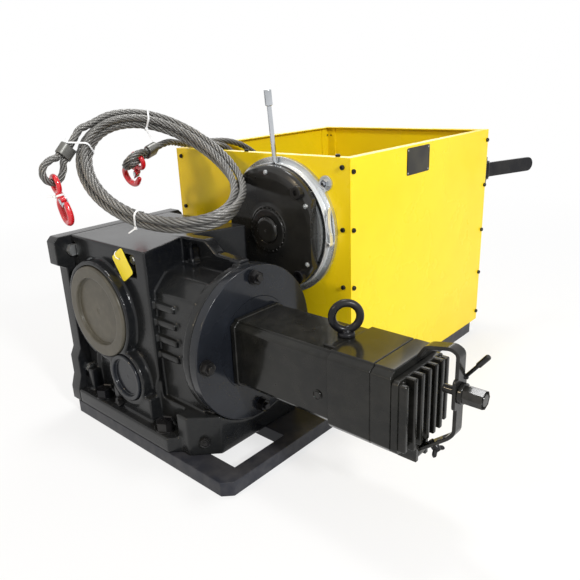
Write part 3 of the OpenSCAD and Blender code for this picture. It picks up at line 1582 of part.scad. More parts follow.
// Every node, drawn alone or with the others
base_frame();
gearbox_housing();
gearbox_end_plate();
end_plate_bolts();
output_bore_cover();
bevel_shaft_cover();
input_adapter();
adapter_bolts();
oil_plugs();
foot_bolts();
oil_tag();
output_shaft();
output_bearings();
drum_shaft();
rope_drum();
drum_flanges();
drum_gear();
bearing_pedestals();
shaft_bearings();
brake_shaft();
brake_gear();
motor_housing();
motor_rear_housing();
motor_end_cover();
motor_eyebolt();
motor_rotor();
motor_bearings();
release_bail();
bail_bracket();
release_knob();
wing_screw();
brake_mounting_plate();
friction_disc();
armature_plate();
magnet_housing();
brake_cap();
brake_screws();
brake_band();
band_latch();
brake_hand_lever();
cover_front();
cover_rear();
cover_left();
cover_right();
corner_posts();
cover_screws();
nameplate();
side_lever();
lever_bracket();
rope_lead_a();
rope_coil_a();
rope_tail_a();
rope_lead_b();
rope_eyes();
rope_ferrules();
rope_hooks();
hook_a_latch();
hook_b_latch();
drum_rope();
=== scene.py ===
"""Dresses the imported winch: meshes, wire ropes, finishes, light and camera round the fixed frame."""
import logging
import math
from dataclasses import dataclass, field
from enum import Enum
from functools import cache

import bmesh
import bpy
from bmesh.types import BMesh, BMVert
from bpy.types import Material, Node, NodeSocket, NodeTree, Object
from mathutils import Matrix, Vector


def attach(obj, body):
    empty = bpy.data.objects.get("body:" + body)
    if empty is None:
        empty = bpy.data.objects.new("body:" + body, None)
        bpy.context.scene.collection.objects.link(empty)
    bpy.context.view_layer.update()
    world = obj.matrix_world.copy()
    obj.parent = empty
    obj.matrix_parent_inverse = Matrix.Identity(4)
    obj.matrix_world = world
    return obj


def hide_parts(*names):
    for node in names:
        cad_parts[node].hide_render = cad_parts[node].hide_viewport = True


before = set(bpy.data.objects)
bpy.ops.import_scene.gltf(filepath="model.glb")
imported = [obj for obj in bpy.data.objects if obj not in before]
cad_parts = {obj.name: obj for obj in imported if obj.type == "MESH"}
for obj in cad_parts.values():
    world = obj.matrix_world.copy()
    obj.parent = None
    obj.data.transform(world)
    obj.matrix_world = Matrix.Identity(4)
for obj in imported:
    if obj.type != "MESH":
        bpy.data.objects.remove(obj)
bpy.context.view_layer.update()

LOG = logging.getLogger("winch")
MM = 0.001
TURN = 2 * math.pi
QUARTER = TURN / 4
WELD = 0.0005
CAD_WELD = 0.001
FLAT_ANGLE = 0.6
OVER_CORNER = 0.45
HEAD_CHAMFER_SHARE = 0.13
SHARP_FROM = 38.0
ROD_STEPS = 24
ROUTE_PIECES = 12
X, Y, Z = Vector((1, 0, 0)), Vector((0, 1, 0)), Vector((0, 0, 1))
ORIGIN = Vector((0, 0, 0))
COAT_ROUGHNESS = 0.08
BUMP_DEPTH = 0.0006
CAST_PITS = 0.6
RUBBED_PAINT = (0.16, 0.15, 0.14)
DUST = (0.20, 0.18, 0.15)


class Skin(Enum):
    """The kinds of surface that the finishes are built from."""

    CAST = "cast"
    PAINT = "paint"
    METAL = "metal"
    ROPE = "rope"
    PLASTIC = "plastic"


@dataclass(frozen=True)
class Finish:
    """One finish of the winch: its colour, its sheen and the size of its grain."""

    name: str
    slot: str
    skin: Skin
    colour: tuple
    second: tuple
    roughness: float
    metallic: float = 0.0
    coat: float = 0.0
    specular: float = 0.5
    grain: float = 60.0
    bump: float = 0.1
    dust: float = 0.0
    wear: float = 0.0


@dataclass(frozen=True)
class Patches:
    """Cloudy patches: the noise's scale and octaves, and the values that become nought and one."""

    scale: float
    detail: float
    low: float
    high: float


@dataclass(frozen=True)
class Nodes:
    """A shader node tree that nodes are added to."""

    tree: NodeTree

    @staticmethod
    def group(name: str, inputs: dict, outputs: tuple) -> tuple:
        """Starts a node group.

        Args:
            name: the group's name.
            inputs: its inputs and their default values; three numbers are a colour.
            outputs: its outputs; the one called Colour is a colour, the others are values.

        Returns:
            The nodes, the sockets that bring the inputs and the sockets that take the outputs.
        """
        tree = bpy.data.node_groups.new(name, "ShaderNodeTree")
        for label, value in inputs.items():
            kind = "NodeSocketColor" if isinstance(value, tuple) else "NodeSocketFloat"
            socket = tree.interface.new_socket(label, in_out="INPUT", socket_type=kind)
            socket.default_value = (*value, 1.0) if isinstance(value, tuple) else value
        for label in outputs:
            kind = "NodeSocketColor" if label == "Colour" else "NodeSocketFloat"
            tree.interface.new_socket(label, in_out="OUTPUT", socket_type=kind)
        return Nodes(tree), tree.nodes.new("NodeGroupInput").outputs, tree.nodes.new("NodeGroupOutput").inputs

    def feed(self, socket: NodeSocket, value: object) -> None:
        """Gives an input a link from another socket, or a colour, vector or number of its own.

        Args:
            socket: the input.
            value: what it takes.
        """
        if isinstance(value, NodeSocket):
            self.tree.links.new(value, socket)
        else:
            socket.default_value = (*value, 1.0) if socket.type == "RGBA" else value

    def add(self, kind: str, **values: object) -> Node:
        """Adds a node.

        Args:
            kind: its type, without the word that all types start with.
            values: what its inputs take, with an underscore for each blank in their names.

        Returns:
            The node.
        """
        node = self.tree.nodes.new("ShaderNode" + kind)
        for label, value in values.items():
            self.feed(node.inputs[label.replace("_", " ")], value)
        return node

    def use(self, tree: NodeTree, **values: object) -> Node:
        """Adds a node that stands for a group.

        Args:
            tree: the group.
            values: what its inputs take.

        Returns:
            The node.
        """
        node = self.add("Group")
        node.node_tree = tree
        for label, value in values.items():
            self.feed(node.inputs[label], value)
        return node

    def math(self, kind: str, first: object, second: object = 0.0) -> NodeSocket:
        """Works one or two sockets or numbers into a value.

        Args:
            kind: what is done with them.
            first: the first one.
            second: the second one, for the kinds that have one.

        Returns:
            The value's socket.
        """
        node = self.add("Math")
        node.operation = kind
        self.feed(node.inputs[0], first)
        self.feed(node.inputs[1], second)
        return node.outputs[0]

    def product(self, *values: object) -> NodeSocket:
        """Multiplies sockets and numbers.

        Args:
            values: the sockets and numbers, a socket first.

        Returns:
            The product's socket.
        """
        made = values[0]
        for value in values[1:]:
            made = self.math("MULTIPLY", made, value)
        return made

    def mix(self, share: object, first: object, second: object) -> NodeSocket:
        """Mixes two colours.

        Args:
            share: how much of the second shows.
            first: the first colour.
            second: the second colour.

        Returns:
            The mixed colour's socket.
        """
        node = self.add("Mix")
        node.data_type = "RGBA"
        for place, value in ((0, share), (6, first), (7, second)):
            self.feed(node.inputs[place], value)
        return node.outputs[2]

    def ranged(self, value: NodeSocket, low: float, high: float) -> NodeSocket:
        """Spreads a value from low..high to 0..1."""
        return self.add("MapRange", Value=value, From_Min=low, From_Max=high).outputs["Result"]

    def noise(self, coords: NodeSocket, scale: object, detail: float) -> NodeSocket:
        """Adds a noise that reads coordinates."""
        return self.add("TexNoise", Vector=coords, Scale=scale, Detail=detail).outputs["Fac"]

    def patches(self, coords: NodeSocket, kind: Patches) -> NodeSocket:
        """Adds cloudy patches that read coordinates."""
        return self.ranged(self.noise(coords, kind.scale, kind.detail), kind.low, kind.high)

    def seen_by(self, *rays: str) -> NodeSocket:
        """Gives a value that is one for some kinds of ray.

        Args:
            rays: the kinds, named as the node's outputs.

        Returns:
            The value's socket.
        """
        path = self.add("LightPath")
        seen = path.outputs[rays[0]]
        for ray in rays[1:]:
            seen = self.math("MAXIMUM", seen, path.outputs[ray])
        return seen


class Finishes:
    """All finishes of the winch, each built once."""

    CLOUDS = Patches(5.5, 4, 0.38, 0.66)
    DUST_PATCHES = Patches(14, 5, 0.35, 0.75)
    WORN_PATCHES = Patches(45, 4, 0.4, 0.62)
    METAL_STAINS = Patches(16, 4, 0.4, 0.68)
    GREASE = Patches(22, 4, 0.42, 0.7)

    CASTING = Finish(
        "black_cast_paint", "black_casting", Skin.CAST, (0.006, 0.0068, 0.0088), (0.015, 0.0158, 0.0158),
        0.17, coat=0.18, specular=0.17, grain=95, bump=0.2, dust=0.05, wear=0.10)
    COVER_FACE = Finish(
        "turned_cover_paint", "black_casting", Skin.CAST, (0.064, 0.059, 0.045), (0.112, 0.103, 0.080),
        0.30, specular=0.26, grain=60, bump=0.12, dust=0.08, wear=0.2)
    FLANGE = Finish(
        "blue_black_paint", "black_casting", Skin.PAINT, (0.008, 0.0095, 0.013), (0.014, 0.0165, 0.022),
        0.16, coat=0.20, specular=0.19, grain=40, bump=0.05, dust=0.04, wear=0.14)
    MOTOR = Finish(
        "motor_paint", "motor_black", Skin.PAINT, (0.006, 0.0062, 0.0058), (0.014, 0.014, 0.0115), 0.15,
        coat=0.24, specular=0.17, grain=50, bump=0.06, dust=0.04, wear=0.12)
    MOTOR_CAST = Finish(
        "motor_cast_paint", "motor_black", Skin.CAST, (0.006, 0.0062, 0.0058), (0.014, 0.014, 0.0115), 0.20,
        coat=0.18, specular=0.17, grain=120, bump=0.18, dust=0.04, wear=0.12)
    BRAKE = Finish(
        "brake_lacquer", "motor_black", Skin.PAINT, (0.013, 0.013, 0.0125), (0.026, 0.025, 0.022), 0.12,
        coat=0.30, specular=0.26, grain=35, bump=0.04, dust=0.03, wear=0.08)
    BASE = Finish(
        "base_paint_satin", "base_paint", Skin.PAINT, (0.014, 0.0155, 0.022), (0.028, 0.030, 0.039), 0.28,
        specular=0.22, grain=45, bump=0.1, dust=0.12, wear=0.22)
    YELLOW = Finish(
        "yellow_gloss_paint", "yellow_paint", Skin.PAINT, (0.92, 0.68, 0.008), (0.89, 0.63, 0.007), 0.26,
        coat=0.1, specular=0.22, grain=18, bump=0.03, dust=0.03)
    ZINC = Finish(
        "zinc_plate", "zinc", Skin.METAL, (0.66, 0.68, 0.69), (0.48, 0.50, 0.50), 0.24, 0.85, grain=70,
        bump=0.05)
    OXIDE = Finish(
        "black_oxide_steel", "black_oxide", Skin.METAL, (0.010, 0.010, 0.012), (0.024, 0.023, 0.022), 0.24,
        0.4, specular=0.3, grain=90, bump=0.08)
    STEEL = Finish(
        "turned_steel", "bare_steel", Skin.METAL, (0.42, 0.42, 0.42), (0.28, 0.28, 0.27), 0.36, 1.0,
        grain=90, bump=0.06)
    CHROME = Finish(
        "bright_chrome", "chrome", Skin.METAL, (0.56, 0.58, 0.61), (0.42, 0.44, 0.46), 0.1, 1.0, grain=30,
        bump=0.015)
    BRIGHT = Finish(
        "polished_steel", "chrome", Skin.METAL, (0.88, 0.90, 0.92), (0.78, 0.80, 0.82), 0.16, 0.6, grain=30,
        bump=0.015)
    # Its second colour is the painted shade of the rope's grooves, also used for its greasy stains.
    ROPE = Finish(
        "steel_wire_rope", "wire_rope", Skin.ROPE, (0.225, 0.221, 0.21), (0.015, 0.0145, 0.013), 0.32, 0.75,
        grain=36, bump=0.5)
    RED = Finish(
        "hook_red_paint", "hook_red", Skin.PAINT, (0.72, 0.007, 0.020), (0.52, 0.006, 0.012), 0.2, coat=0.5,
        grain=60, bump=0.06, wear=0.08)
    LINING = Finish(
        "brake_lining", "friction_lining", Skin.CAST, (0.09, 0.075, 0.06), (0.05, 0.042, 0.034), 0.8,
        grain=260, bump=0.3)
    TAG = Finish(
        "tag_card", "tag_yellow", Skin.PLASTIC, (0.90, 0.74, 0.04), (0.84, 0.64, 0.03), 0.42, grain=80,
        bump=0.05)
    PLATE = Finish(
        "dark_name_plate", "plate_dark", Skin.METAL, (0.016, 0.014, 0.010), (0.05, 0.045, 0.03), 0.3, 0.5,
        grain=120, bump=0.03)
    NYLON = Finish(
        "white_nylon_tie", "tag_yellow", Skin.PLASTIC, (0.86, 0.87, 0.88), (0.78, 0.79, 0.80), 0.38,
        grain=150, bump=0.03)
    SLEEVE = Finish(
        "pressed_ferrule", "black_oxide", Skin.METAL, (0.20, 0.20, 0.19), (0.11, 0.11, 0.10), 0.36, 0.8,
        grain=80, bump=0.1)

    @cache
    def grain_group(self) -> NodeTree:
        """Makes the group for cast and painted skins: cloudy colour, sheen changes and a fine grain.

        Returns:
            The group.
        """
        nodes, given, gives = Nodes.group(
            "Skin Grain",
            {"Colour": (0.5, 0.5, 0.5), "Second": (0.4, 0.4, 0.4), "Roughness": 0.4, "Scale": 60.0,
             "Pits": 0.5},
            ("Colour", "Roughness", "Height"),
        )
        coords = nodes.add("TexCoord").outputs["Object"]
        cloud = nodes.patches(coords, self.CLOUDS)
        fine = nodes.noise(coords, given["Scale"], 3)
        holes = nodes.add("TexVoronoi", Vector=coords,
                          Scale=nodes.product(given["Scale"], 3.0)).outputs["Distance"]
        pit = nodes.product(nodes.ranged(holes, 0.0, 0.45), given["Pits"])
        speck = nodes.product(nodes.ranged(fine, 0.42, 0.7), 0.35)
        share = nodes.math("ADD", nodes.product(cloud, 0.65), speck)
        nodes.feed(gives["Colour"], nodes.mix(share, given["Colour"], given["Second"]))
        nodes.feed(gives["Roughness"], nodes.math("ADD", nodes.product(cloud, 0.14), given["Roughness"]))
        nodes.feed(gives["Height"], nodes.math("ADD", fine, pit))
        return nodes.tree

    @cache
    def dust_group(self) -> NodeTree:
        """Makes the group for dust that lies on the faces that look up.

        Returns:
            The group.
        """
        nodes, given, gives = Nodes.group("Settled Dust", {"Amount": 0.3}, ("Mask",))
        coords = nodes.add("TexCoord").outputs["Object"]
        split = nodes.add("SeparateXYZ", Vector=nodes.add("NewGeometry").outputs["Normal"])
        upward = nodes.ranged(split.outputs["Z"], 0.55, 1.0)
        nodes.feed(gives["Mask"],
                   nodes.product(upward, nodes.patches(coords, self.DUST_PATCHES), given["Amount"]))
        return nodes.tree

    @cache
    def wear_group(self) -> NodeTree:
        """Makes the group for paint rubbed thin along the edges.

        Returns:
            The group.
        """
        nodes, given, gives = Nodes.group("Rubbed Edges", {"Amount": 0.3}, ("Mask",))
        coords = nodes.add("TexCoord").outputs["Object"]
        edge = nodes.ranged(nodes.add("NewGeometry").outputs["Pointiness"], 0.515, 0.60)
        nodes.feed(gives["Mask"],
                   nodes.product(edge, nodes.patches(coords, self.WORN_PATCHES), given["Amount"]))
        return nodes.tree

    @cache
    def drawn_group(self) -> NodeTree:
        """Makes the group for bare and plated metal: faint tool lines and stains.

        Returns:
            The group.
        """
        nodes, given, gives = Nodes.group(
            "Drawn Metal",
            {"Colour": (0.5, 0.5, 0.5), "Second": (0.4, 0.4, 0.4), "Roughness": 0.3, "Scale": 80.0},
            ("Colour", "Roughness", "Height"),
        )
        coords = nodes.add("TexCoord").outputs["Object"]
        place = nodes.add("Mapping", Vector=coords, Scale=(1.0, 6.0, 1.0)).outputs["Vector"]
        stain = nodes.patches(coords, self.METAL_STAINS)
        nodes.feed(gives["Colour"], nodes.mix(stain, given["Colour"], given["Second"]))
        nodes.feed(gives["Roughness"], nodes.math("ADD", nodes.product(stain, 0.12), given["Roughness"]))
        nodes.feed(gives["Height"], nodes.noise(place, given["Scale"], 3))
        return nodes.tree

    @cache
    def wire_group(self) -> NodeTree:
        """Makes the group for wire rope: single wires along the strands, painted shade in the grooves and
        between the wires, and greasy stains.

        Returns:
            The group.
        """
        nodes, given, gives = Nodes.group(
            "Rope Wires",
            {"Colour": (0.5, 0.5, 0.5), "Second": (0.1, 0.1, 0.1), "Roughness": 0.4, "Wires": 36.0},
            ("Colour", "Roughness", "Height"),
        )
        coords = nodes.add("TexCoord")
        split = nodes.add("SeparateXYZ", Vector=coords.outputs["UV"])
        wave = nodes.math("SINE", nodes.product(split.outputs["Y"], given["Wires"], TURN))
        ridge = nodes.product(nodes.math("ADD", wave, 1.0), 0.5)
        groove = nodes.add("Attribute")
        groove.attribute_name = "groove"
        stain = nodes.patches(coords.outputs["Object"], self.GREASE)
        # Painted shade: the grooves between strands are darkened, and greasy stains are added.
        dark = nodes.math("ADD", nodes.product(groove.outputs["Fac"], 0.85), nodes.product(stain, 0.22))
        # Painted shade in the valleys between the single wires.
        thin = nodes.product(nodes.math("SUBTRACT", 1.0, ridge), 0.18)
        share = nodes.math("MINIMUM", nodes.math("ADD", dark, thin), 1.0)
        nodes.feed(gives["Colour"], nodes.mix(share, given["Colour"], given["Second"]))
        nodes.feed(gives["Roughness"], nodes.math("ADD", nodes.product(share, 0.25), given["Roughness"]))
        nodes.feed(gives["Height"], ridge)
        return nodes.tree

    @cache
    def material(self, finish: Finish) -> Material:
        """Builds the material of a finish from the groups, once.

        Args:
            finish: the finish to build.

        Returns:
            The Blender material.
        """
        material = bpy.data.materials.new(finish.name)
        material.use_nodes = True
        nodes = Nodes(material.node_tree)
        shader = nodes.tree.nodes["Principled BSDF"]
        for label, value in (("Metallic", finish.metallic), ("Coat Weight", finish.coat),
                             ("Coat Roughness", COAT_ROUGHNESS), ("Specular IOR Level", finish.specular)):
            shader.inputs[label].default_value = value
        kind = {Skin.ROPE: self.wire_group, Skin.METAL: self.drawn_group}.get(finish.skin, self.grain_group)
        skin = nodes.use(kind(), Colour=finish.colour, Second=finish.second, Roughness=finish.roughness)
        skin.inputs["Wires" if finish.skin is Skin.ROPE else "Scale"].default_value = finish.grain
        if "Pits" in skin.inputs:
            skin.inputs["Pits"].default_value = CAST_PITS if finish.skin is Skin.CAST else 0.0
        colour = skin.outputs["Colour"]
        for amount, effect, tint in ((finish.wear, self.wear_group, RUBBED_PAINT),
                                     (finish.dust, self.dust_group, DUST)):
            if amount > 0:
                colour = nodes.mix(nodes.use(effect(), Amount=amount).outputs["Mask"], colour, tint)
        nodes.feed(shader.inputs["Base Color"], colour)
        nodes.feed(shader.inputs["Roughness"], skin.outputs["Roughness"])
        bump = nodes.add("Bump", Strength=finish.bump, Distance=BUMP_DEPTH, Height=skin.outputs["Height"])
        nodes.feed(shader.inputs["Normal"], bump.outputs["Normal"])
        return material


FINISHES = Finishes()


def round_corners(points: list, radius: float, steps: int = 3, closed: bool = False) -> list:
    """Rounds the corners of a flat outline.

    Args:
        points: the outline's points, each two numbers.
        radius: how far the rounding reaches along each side.
        steps: how many stretches make one rounded corner.
        closed: whether the last point joins the first.

    Returns:
        The outline with its corners rounded.
    """
    count = len(points)
    made = []
    for place, point in enumerate(points):
        corner = Vector(point)
        if not closed and place in (0, count - 1):
            made.append(tuple(corner))
            continue
        before, after = Vector(points[place - 1]), Vector(points[(place + 1) % count])
        reach = min(radius, OVER_CORNER * (before - corner).length, OVER_CORNER * (after - corner).length)
        start = corner + (before - corner).normalized() * reach
        end = corner + (after - corner).normalized() * reach
        for step in range(steps + 1):
            t = step / steps
            made.append(tuple(start * (1 - t) ** 2 + corner * 2 * t * (1 - t) + end * t ** 2))
    return made


def arc_points(radius: float, start: float, end: float, steps: int, x: float = 0.0, z: float = 0.0) -> list:
    """The points of a flat arc.

    Args:
        radius: its radius.
        start: the angle where it starts, in degrees.
        end: the angle where it ends, in degrees.
        steps: its stretches.
        x: its centre's first number.
        z: its centre's second number.

    Returns:
        The points, each two numbers.
    """
    angles = [math.radians(start + (end - start) * k / steps) for k in range(steps + 1)]
    return [(x + radius * math.cos(a), z + radius * math.sin(a)) for a in angles]


def ring_outline(radius: float, bar: float, sides: int) -> list:
    """The closed outline that turns into a ring of round bar."""
    return [(radius + bar * math.cos(TURN * k / sides),
             bar * math.sin(TURN * k / sides)) for k in range(sides)]


def box_outline(half_x: float, half_z: float) -> list:
    """The corners of an oblong round nought."""
    return [(-half_x, -half_z), (half_x, -half_z), (half_x, half_z), (-half_x, half_z)]


def upright(points: list, y: float = 0.0) -> list:
    """Flat points set up in the X-Z plane at a depth."""
    return [Vector((x, y, z)) for x, z in points]


def placed(name: str, bm: BMesh) -> Object:
    """Turns finished geometry into an object of the scene.

    Args:
        name: the object's name.
        bm: the geometry, which is freed.

    Returns:
        The object.
    """
    mesh = bpy.data.meshes.new(name)
    bm.to_mesh(mesh)
    bm.free()
    made = bpy.data.objects.new(name, mesh)
    bpy.context.scene.collection.objects.link(made)
    return made


def turn_by(degrees: float, axis: str) -> Matrix:
    """A turn by some degrees about the axis named."""
    return Matrix.Rotation(math.radians(degrees), 4, axis)


def sideways(way: Vector) -> Vector:
    """A unit vector square to the one given."""
    other = Z.cross(way)
    return other.normalized() if other.length > 0.1 else X.copy()


def frame_at(place: Vector, way: Vector, side: Vector) -> Matrix:
    """The matrix whose local -Z runs along a way and whose local X keeps to a side.

    Args:
        place: where the local origin goes.
        way: where local -Z points.
        side: where local X points, before it is made square to the way.

    Returns:
        The matrix.
    """
    up = -way.normalized()
    across = (side - side.dot(up) * up).normalized()
    depth = up.cross(across)
    return Matrix(((across.x, depth.x, up.x, place.x), (across.y, depth.y, up.y, place.y),
                   (across.z, depth.z, up.z, place.z), (0, 0, 0, 1)))


class Shape:
    """A piece under construction, in millimetres, gathered from turned, extruded and swept parts."""

    def __init__(self) -> None:
        """Starts with no geometry."""
        self.bm = bmesh.new()

    def join(self, part: BMesh) -> None:
        """Adds a part as it is.

        Args:
            part: the part, which is freed.
        """
        mesh = bpy.data.meshes.new("part")
        part.to_mesh(mesh)
        part.free()
        self.bm.from_mesh(mesh)
        bpy.data.meshes.remove(mesh)

    def take(self, part: BMesh, place: Matrix | None = None) -> None:
        """Closes one part and adds it to the piece.

        Args:
            part: the part, which is freed.
            place: where it goes.
        """
        bmesh.ops.remove_doubles(part, verts=part.verts, dist=WELD)
        bmesh.ops.recalc_face_normals(part, faces=part.faces)
        if place is not None:
            bmesh.ops.transform(part, matrix=place, verts=part.verts)
        self.join(part)

    @staticmethod
    def soften(part: BMesh, width: float, segments: int = 2, angle: float = 30.0) -> None:
        """Rounds the sharp edges of a part.

        Args:
            part: the part to change.
            width: the rounding's width.
            segments: its segments.
            angle: the least angle of an edge that is rounded, in degrees.
        """
        sharp = [e for e in part.edges if e.is_manifold and e.calc_face_angle(0) > math.radians(angle)]
        bmesh.ops.bevel(part, geom=sharp, offset=width, offset_type="OFFSET", segments=segments,
                        profile=0.5, affect="EDGES", material=-1, clamp_overlap=False)

    @staticmethod
    def cap(part: BMesh) -> None:
        """Closes the open ends of a part."""
        bmesh.ops.holes_fill(part, edges=[e for e in part.edges if e.is_boundary], sides=0)

    @staticmethod
    def chain(part: BMesh, points: list, closed: bool) -> tuple:
        """Adds a chain of edges through points.

        Args:
            part: the part that takes them.
            points: the points.
            closed: whether the last joins the first.

        Returns:
            The vertices and the edges, as two lists.
        """
        verts = [part.verts.new(point) for point in points]
        pairs = list(zip(verts, verts[1:])) + ([(verts[-1], verts[0])] if closed else [])
        return verts, [part.edges.new(pair) for pair in pairs]

    def turned(self, outline: list, base: Vector, way: Vector, steps: int = 72, closed: bool = False,
               arc: float = TURN, start: Vector | None = None, place: Matrix | None = None,
               flats: tuple = ()) -> None:
        """Adds a part turned about an axis.

        Args:
            outline: pairs of radius and height.
            base: the point of the axis at height nought.
            way: the axis.
            steps: the steps round it.
            closed: whether the outline closes on itself, as for a ring.
            arc: the angle turned through.
            start: where the outline starts, square to the axis.
            place: where the part goes.
            flats: vectors from the axis to the flats that are cut off.
        """
        part = bmesh.new()
        side = sideways(way) if start is None else start
        verts, edges = self.chain(part, [base + side * r + way * h for r, h in outline], closed)
        whole = arc == TURN
        bmesh.ops.spin(part, geom=verts + edges, cent=base, axis=way, angle=arc, steps=steps,
                       use_merge=whole)
        if not whole:
            self.cap(part)
        for flat in flats:
            bmesh.ops.remove_doubles(part, verts=part.verts, dist=WELD)
            bmesh.ops.bisect_plane(part, geom=[*part.verts, *part.edges, *part.faces], dist=WELD,
                                   plane_co=base + flat, plane_no=flat, clear_outer=True)
            self.cap(part)
        self.take(part, place)

    def prism(self, outline: list, base: Vector, across: Vector, up: Vector, depth: float,
              soft: float = 0.0, segments: int = 2, place: Matrix | None = None,
              mirrored: bool = False) -> None:
        """Adds a flat outline made thick.

        Args:
            outline: the outline's points.
            base: where the outline's origin lies.
            across: the way of its first number.
            up: the way of its second number.
            depth: how thick it becomes, along across x up.
            soft: the rounding of its edges.
            segments: the rounding's segments.
            place: where the part goes.
            mirrored: whether the outline is one half, whose mirror image across up is joined to it.
        """
        part = bmesh.new()
        halves = [outline, [(-a, b) for a, b in reversed(outline)]] if mirrored else [outline]
        for half in halves:
            part.faces.new([part.verts.new(base + across * a + up * b) for a, b in half])
        bmesh.ops.remove_doubles(part, verts=part.verts, dist=WELD)
        made = bmesh.ops.extrude_face_region(part, geom=list(part.faces))["geom"]
        moved = [v for v in made if isinstance(v, BMVert)]
        bmesh.ops.translate(part, vec=across.cross(up) * depth, verts=moved)
        bmesh.ops.recalc_face_normals(part, faces=part.faces)
        if soft > 0:
            self.soften(part, soft, segments)
        self.take(part, place)

    def rod(self, radius: float, low: float, high: float, place: Matrix) -> None:
        """Adds a plain round rod on local Z.

        Args:
            radius: its radius.
            low: where it starts.
            high: where it ends.
            place: where it goes.
        """
        self.turned([(0, low), (radius, low), (radius, high), (0, high)], ORIGIN, Z, ROD_STEPS, place=place)

    def block(self, low: Vector, high: Vector, soft: float = 0.8, segments: int = 2,
              place: Matrix | None = None) -> None:
        """Adds a block between two corners, with its edges rounded.

        Args:
            low: the lowest corner.
            high: the highest corner.
            soft: the rounding of its edges.
            segments: the rounding's segments.
            place: where the part goes.
        """
        part = bmesh.new()
        size = high - low
        middle = Matrix.Translation((low + high) / 2) @ Matrix.Diagonal((size.x, size.y, size.z, 1))
        bmesh.ops.create_cube(part, size=1, matrix=middle)
        self.soften(part, soft, segments)
        self.take(part, place)

    def hexagon(self, flats: float, height: float, place: Matrix, sides: int = 6) -> None:
        """Adds a screw head on local Z, chamfered at its top.

        Args:
            flats: the size across its flats.
            height: its height.
            place: where it goes.
            sides: how many flats it has.
        """
        part = bmesh.new()
        radius = flats / 2 / math.cos(math.pi / sides)
        bmesh.ops.create_cone(part, cap_ends=True, segments=sides, radius1=radius, radius2=radius,
                              depth=height, matrix=Matrix.Translation((0, 0, height / 2)))
        top = max(part.faces, key=lambda f: f.calc_center_median().z)
        outer = list(top.verts)
        bmesh.ops.inset_region(part, faces=[top], thickness=radius * HEAD_CHAMFER_SHARE)
        bmesh.ops.translate(part, vec=(0, 0, -height * HEAD_CHAMFER_SHARE), verts=outer)
        self.take(part, place)

    def swept(self, path: list, radii: list, sides: int = 16, squash: float = 1.0,
              side: Vector | None = None, place: Matrix | None = None) -> None:
        """Adds a round bar along a path, closed with rounded ends by its own radii.

        Args:
            path: the points of its middle.
            radii: its radius at each point.
            sides: the sides round it.
            squash: its thickness as a share of its width.
            side: the way of its width, where it isn't round.
            place: where the part goes.
        """
        part = bmesh.new()
        rings = []
        u = side
        for index, (point, radius) in enumerate(zip(path, radii)):
            way = (path[min(index + 1, len(path) - 1)] - path[max(index - 1, 0)]).normalized()
            u = sideways(way) if u is None else (u - u.dot(way) * way).normalized()
            turn = Matrix((u, way.cross(u) * squash, way)).transposed().to_4x4()
            made = bmesh.ops.create_circle(part, cap_ends=False, segments=sides, radius=radius,
                                           matrix=Matrix.Translation(point) @ turn)
            rings.append({e for v in made["verts"] for e in v.link_edges})
        for first, second in zip(rings, rings[1:]):
            bmesh.ops.bridge_loops(part, edges=list(first | second))
        self.cap(part)
        self.take(part, place)

    def strap(self, path: list, across: Vector, width: float, thick: float, soft: float = 0.6,
              closed: bool = False, place: Matrix | None = None) -> None:
        """Adds a bent flat strip.

        Args:
            path: the points of its middle line.
            across: the way of its width.
            width: its width.
            thick: its thickness, half to each side of the path.
            soft: the rounding of its edges.
            closed: whether its ends meet.
            place: where the part goes.
        """
        part = bmesh.new()
        edges = self.chain(part, [p - across * width / 2 for p in path], closed)[1]
        made = bmesh.ops.extrude_edge_only(part, edges=edges)["geom"]
        bmesh.ops.translate(part, vec=across * width,
                            verts=[v for v in made if isinstance(v, BMVert)])
        bmesh.ops.recalc_face_normals(part, faces=part.faces)
        for vert in part.verts:
            vert.normal_update()
        for vert in part.verts:
            vert.co -= vert.normal * thick / 2
        bmesh.ops.solidify(part, geom=list(part.faces), thickness=-thick)
        bmesh.ops.recalc_face_normals(part, faces=part.faces)
        self.soften(part, soft, 1, 50.0)
        self.take(part, place)

    def copied(self, node: str, width: float, segments: int = 2, angle: float = 28.0) -> "Shape":
        """Adds a copy of a CAD node with its edges rounded.

        Args:
            node: the CAD node's name.
            width: the rounding's width.
            segments: the rounding's segments.
            angle: the least angle of an edge that is rounded.

        Returns:
            This shape.
        """
        part = bmesh.new()
        part.from_mesh(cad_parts[node].data)
        bmesh.ops.scale(part, vec=(1 / MM,) * 3, verts=part.verts)
        bmesh.ops.remove_doubles(part, verts=part.verts, dist=CAD_WELD)
        bmesh.ops.dissolve_limit(part, angle_limit=math.radians(FLAT_ANGLE), verts=part.verts,
                                 edges=part.edges)
        if width > 0:
            self.soften(part, width, segments, angle)
        self.join(part)
        return self

    def piece(self, name: str, body: str, finish: Finish, nodes: tuple = ()) -> Object:
        """Turns the shape into a piece that rides on a body and wears a finish.

        Args:
            name: the piece's name.
            body: the CAD body that it rides on.
            finish: its finish.
            nodes: the CAD nodes that it stands for.

        Returns:
            The Blender object.
        """
        bmesh.ops.scale(self.bm, vec=(MM,) * 3, verts=self.bm.verts)
        for face in self.bm.faces:
            face.smooth = True
        for edge in self.bm.edges:
            edge.smooth = edge.calc_face_angle(0) < math.radians(SHARP_FROM)
        made = placed(name, self.bm)
        made.modifiers.new("level_faces", "WEIGHTED_NORMAL").keep_sharp = True
        return dress(made, body, finish, nodes)


def dress(made: Object, body: str, finish: Finish, nodes: tuple = ()) -> Object:
    """Puts a piece on its body and gives it its finish.

    Args:
        made: the piece.
        body: the CAD body that it rides on.
        finish: its finish.
        nodes: the CAD nodes that it stands for.

    Returns:
        The same object.
    """
    made.data.materials.clear()
    made.data.materials.append(FINISHES.material(finish))
    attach(made, body)
    if nodes:
        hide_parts(*nodes)
    LOG.info("%s rides on %s", made.name, body)
    return made


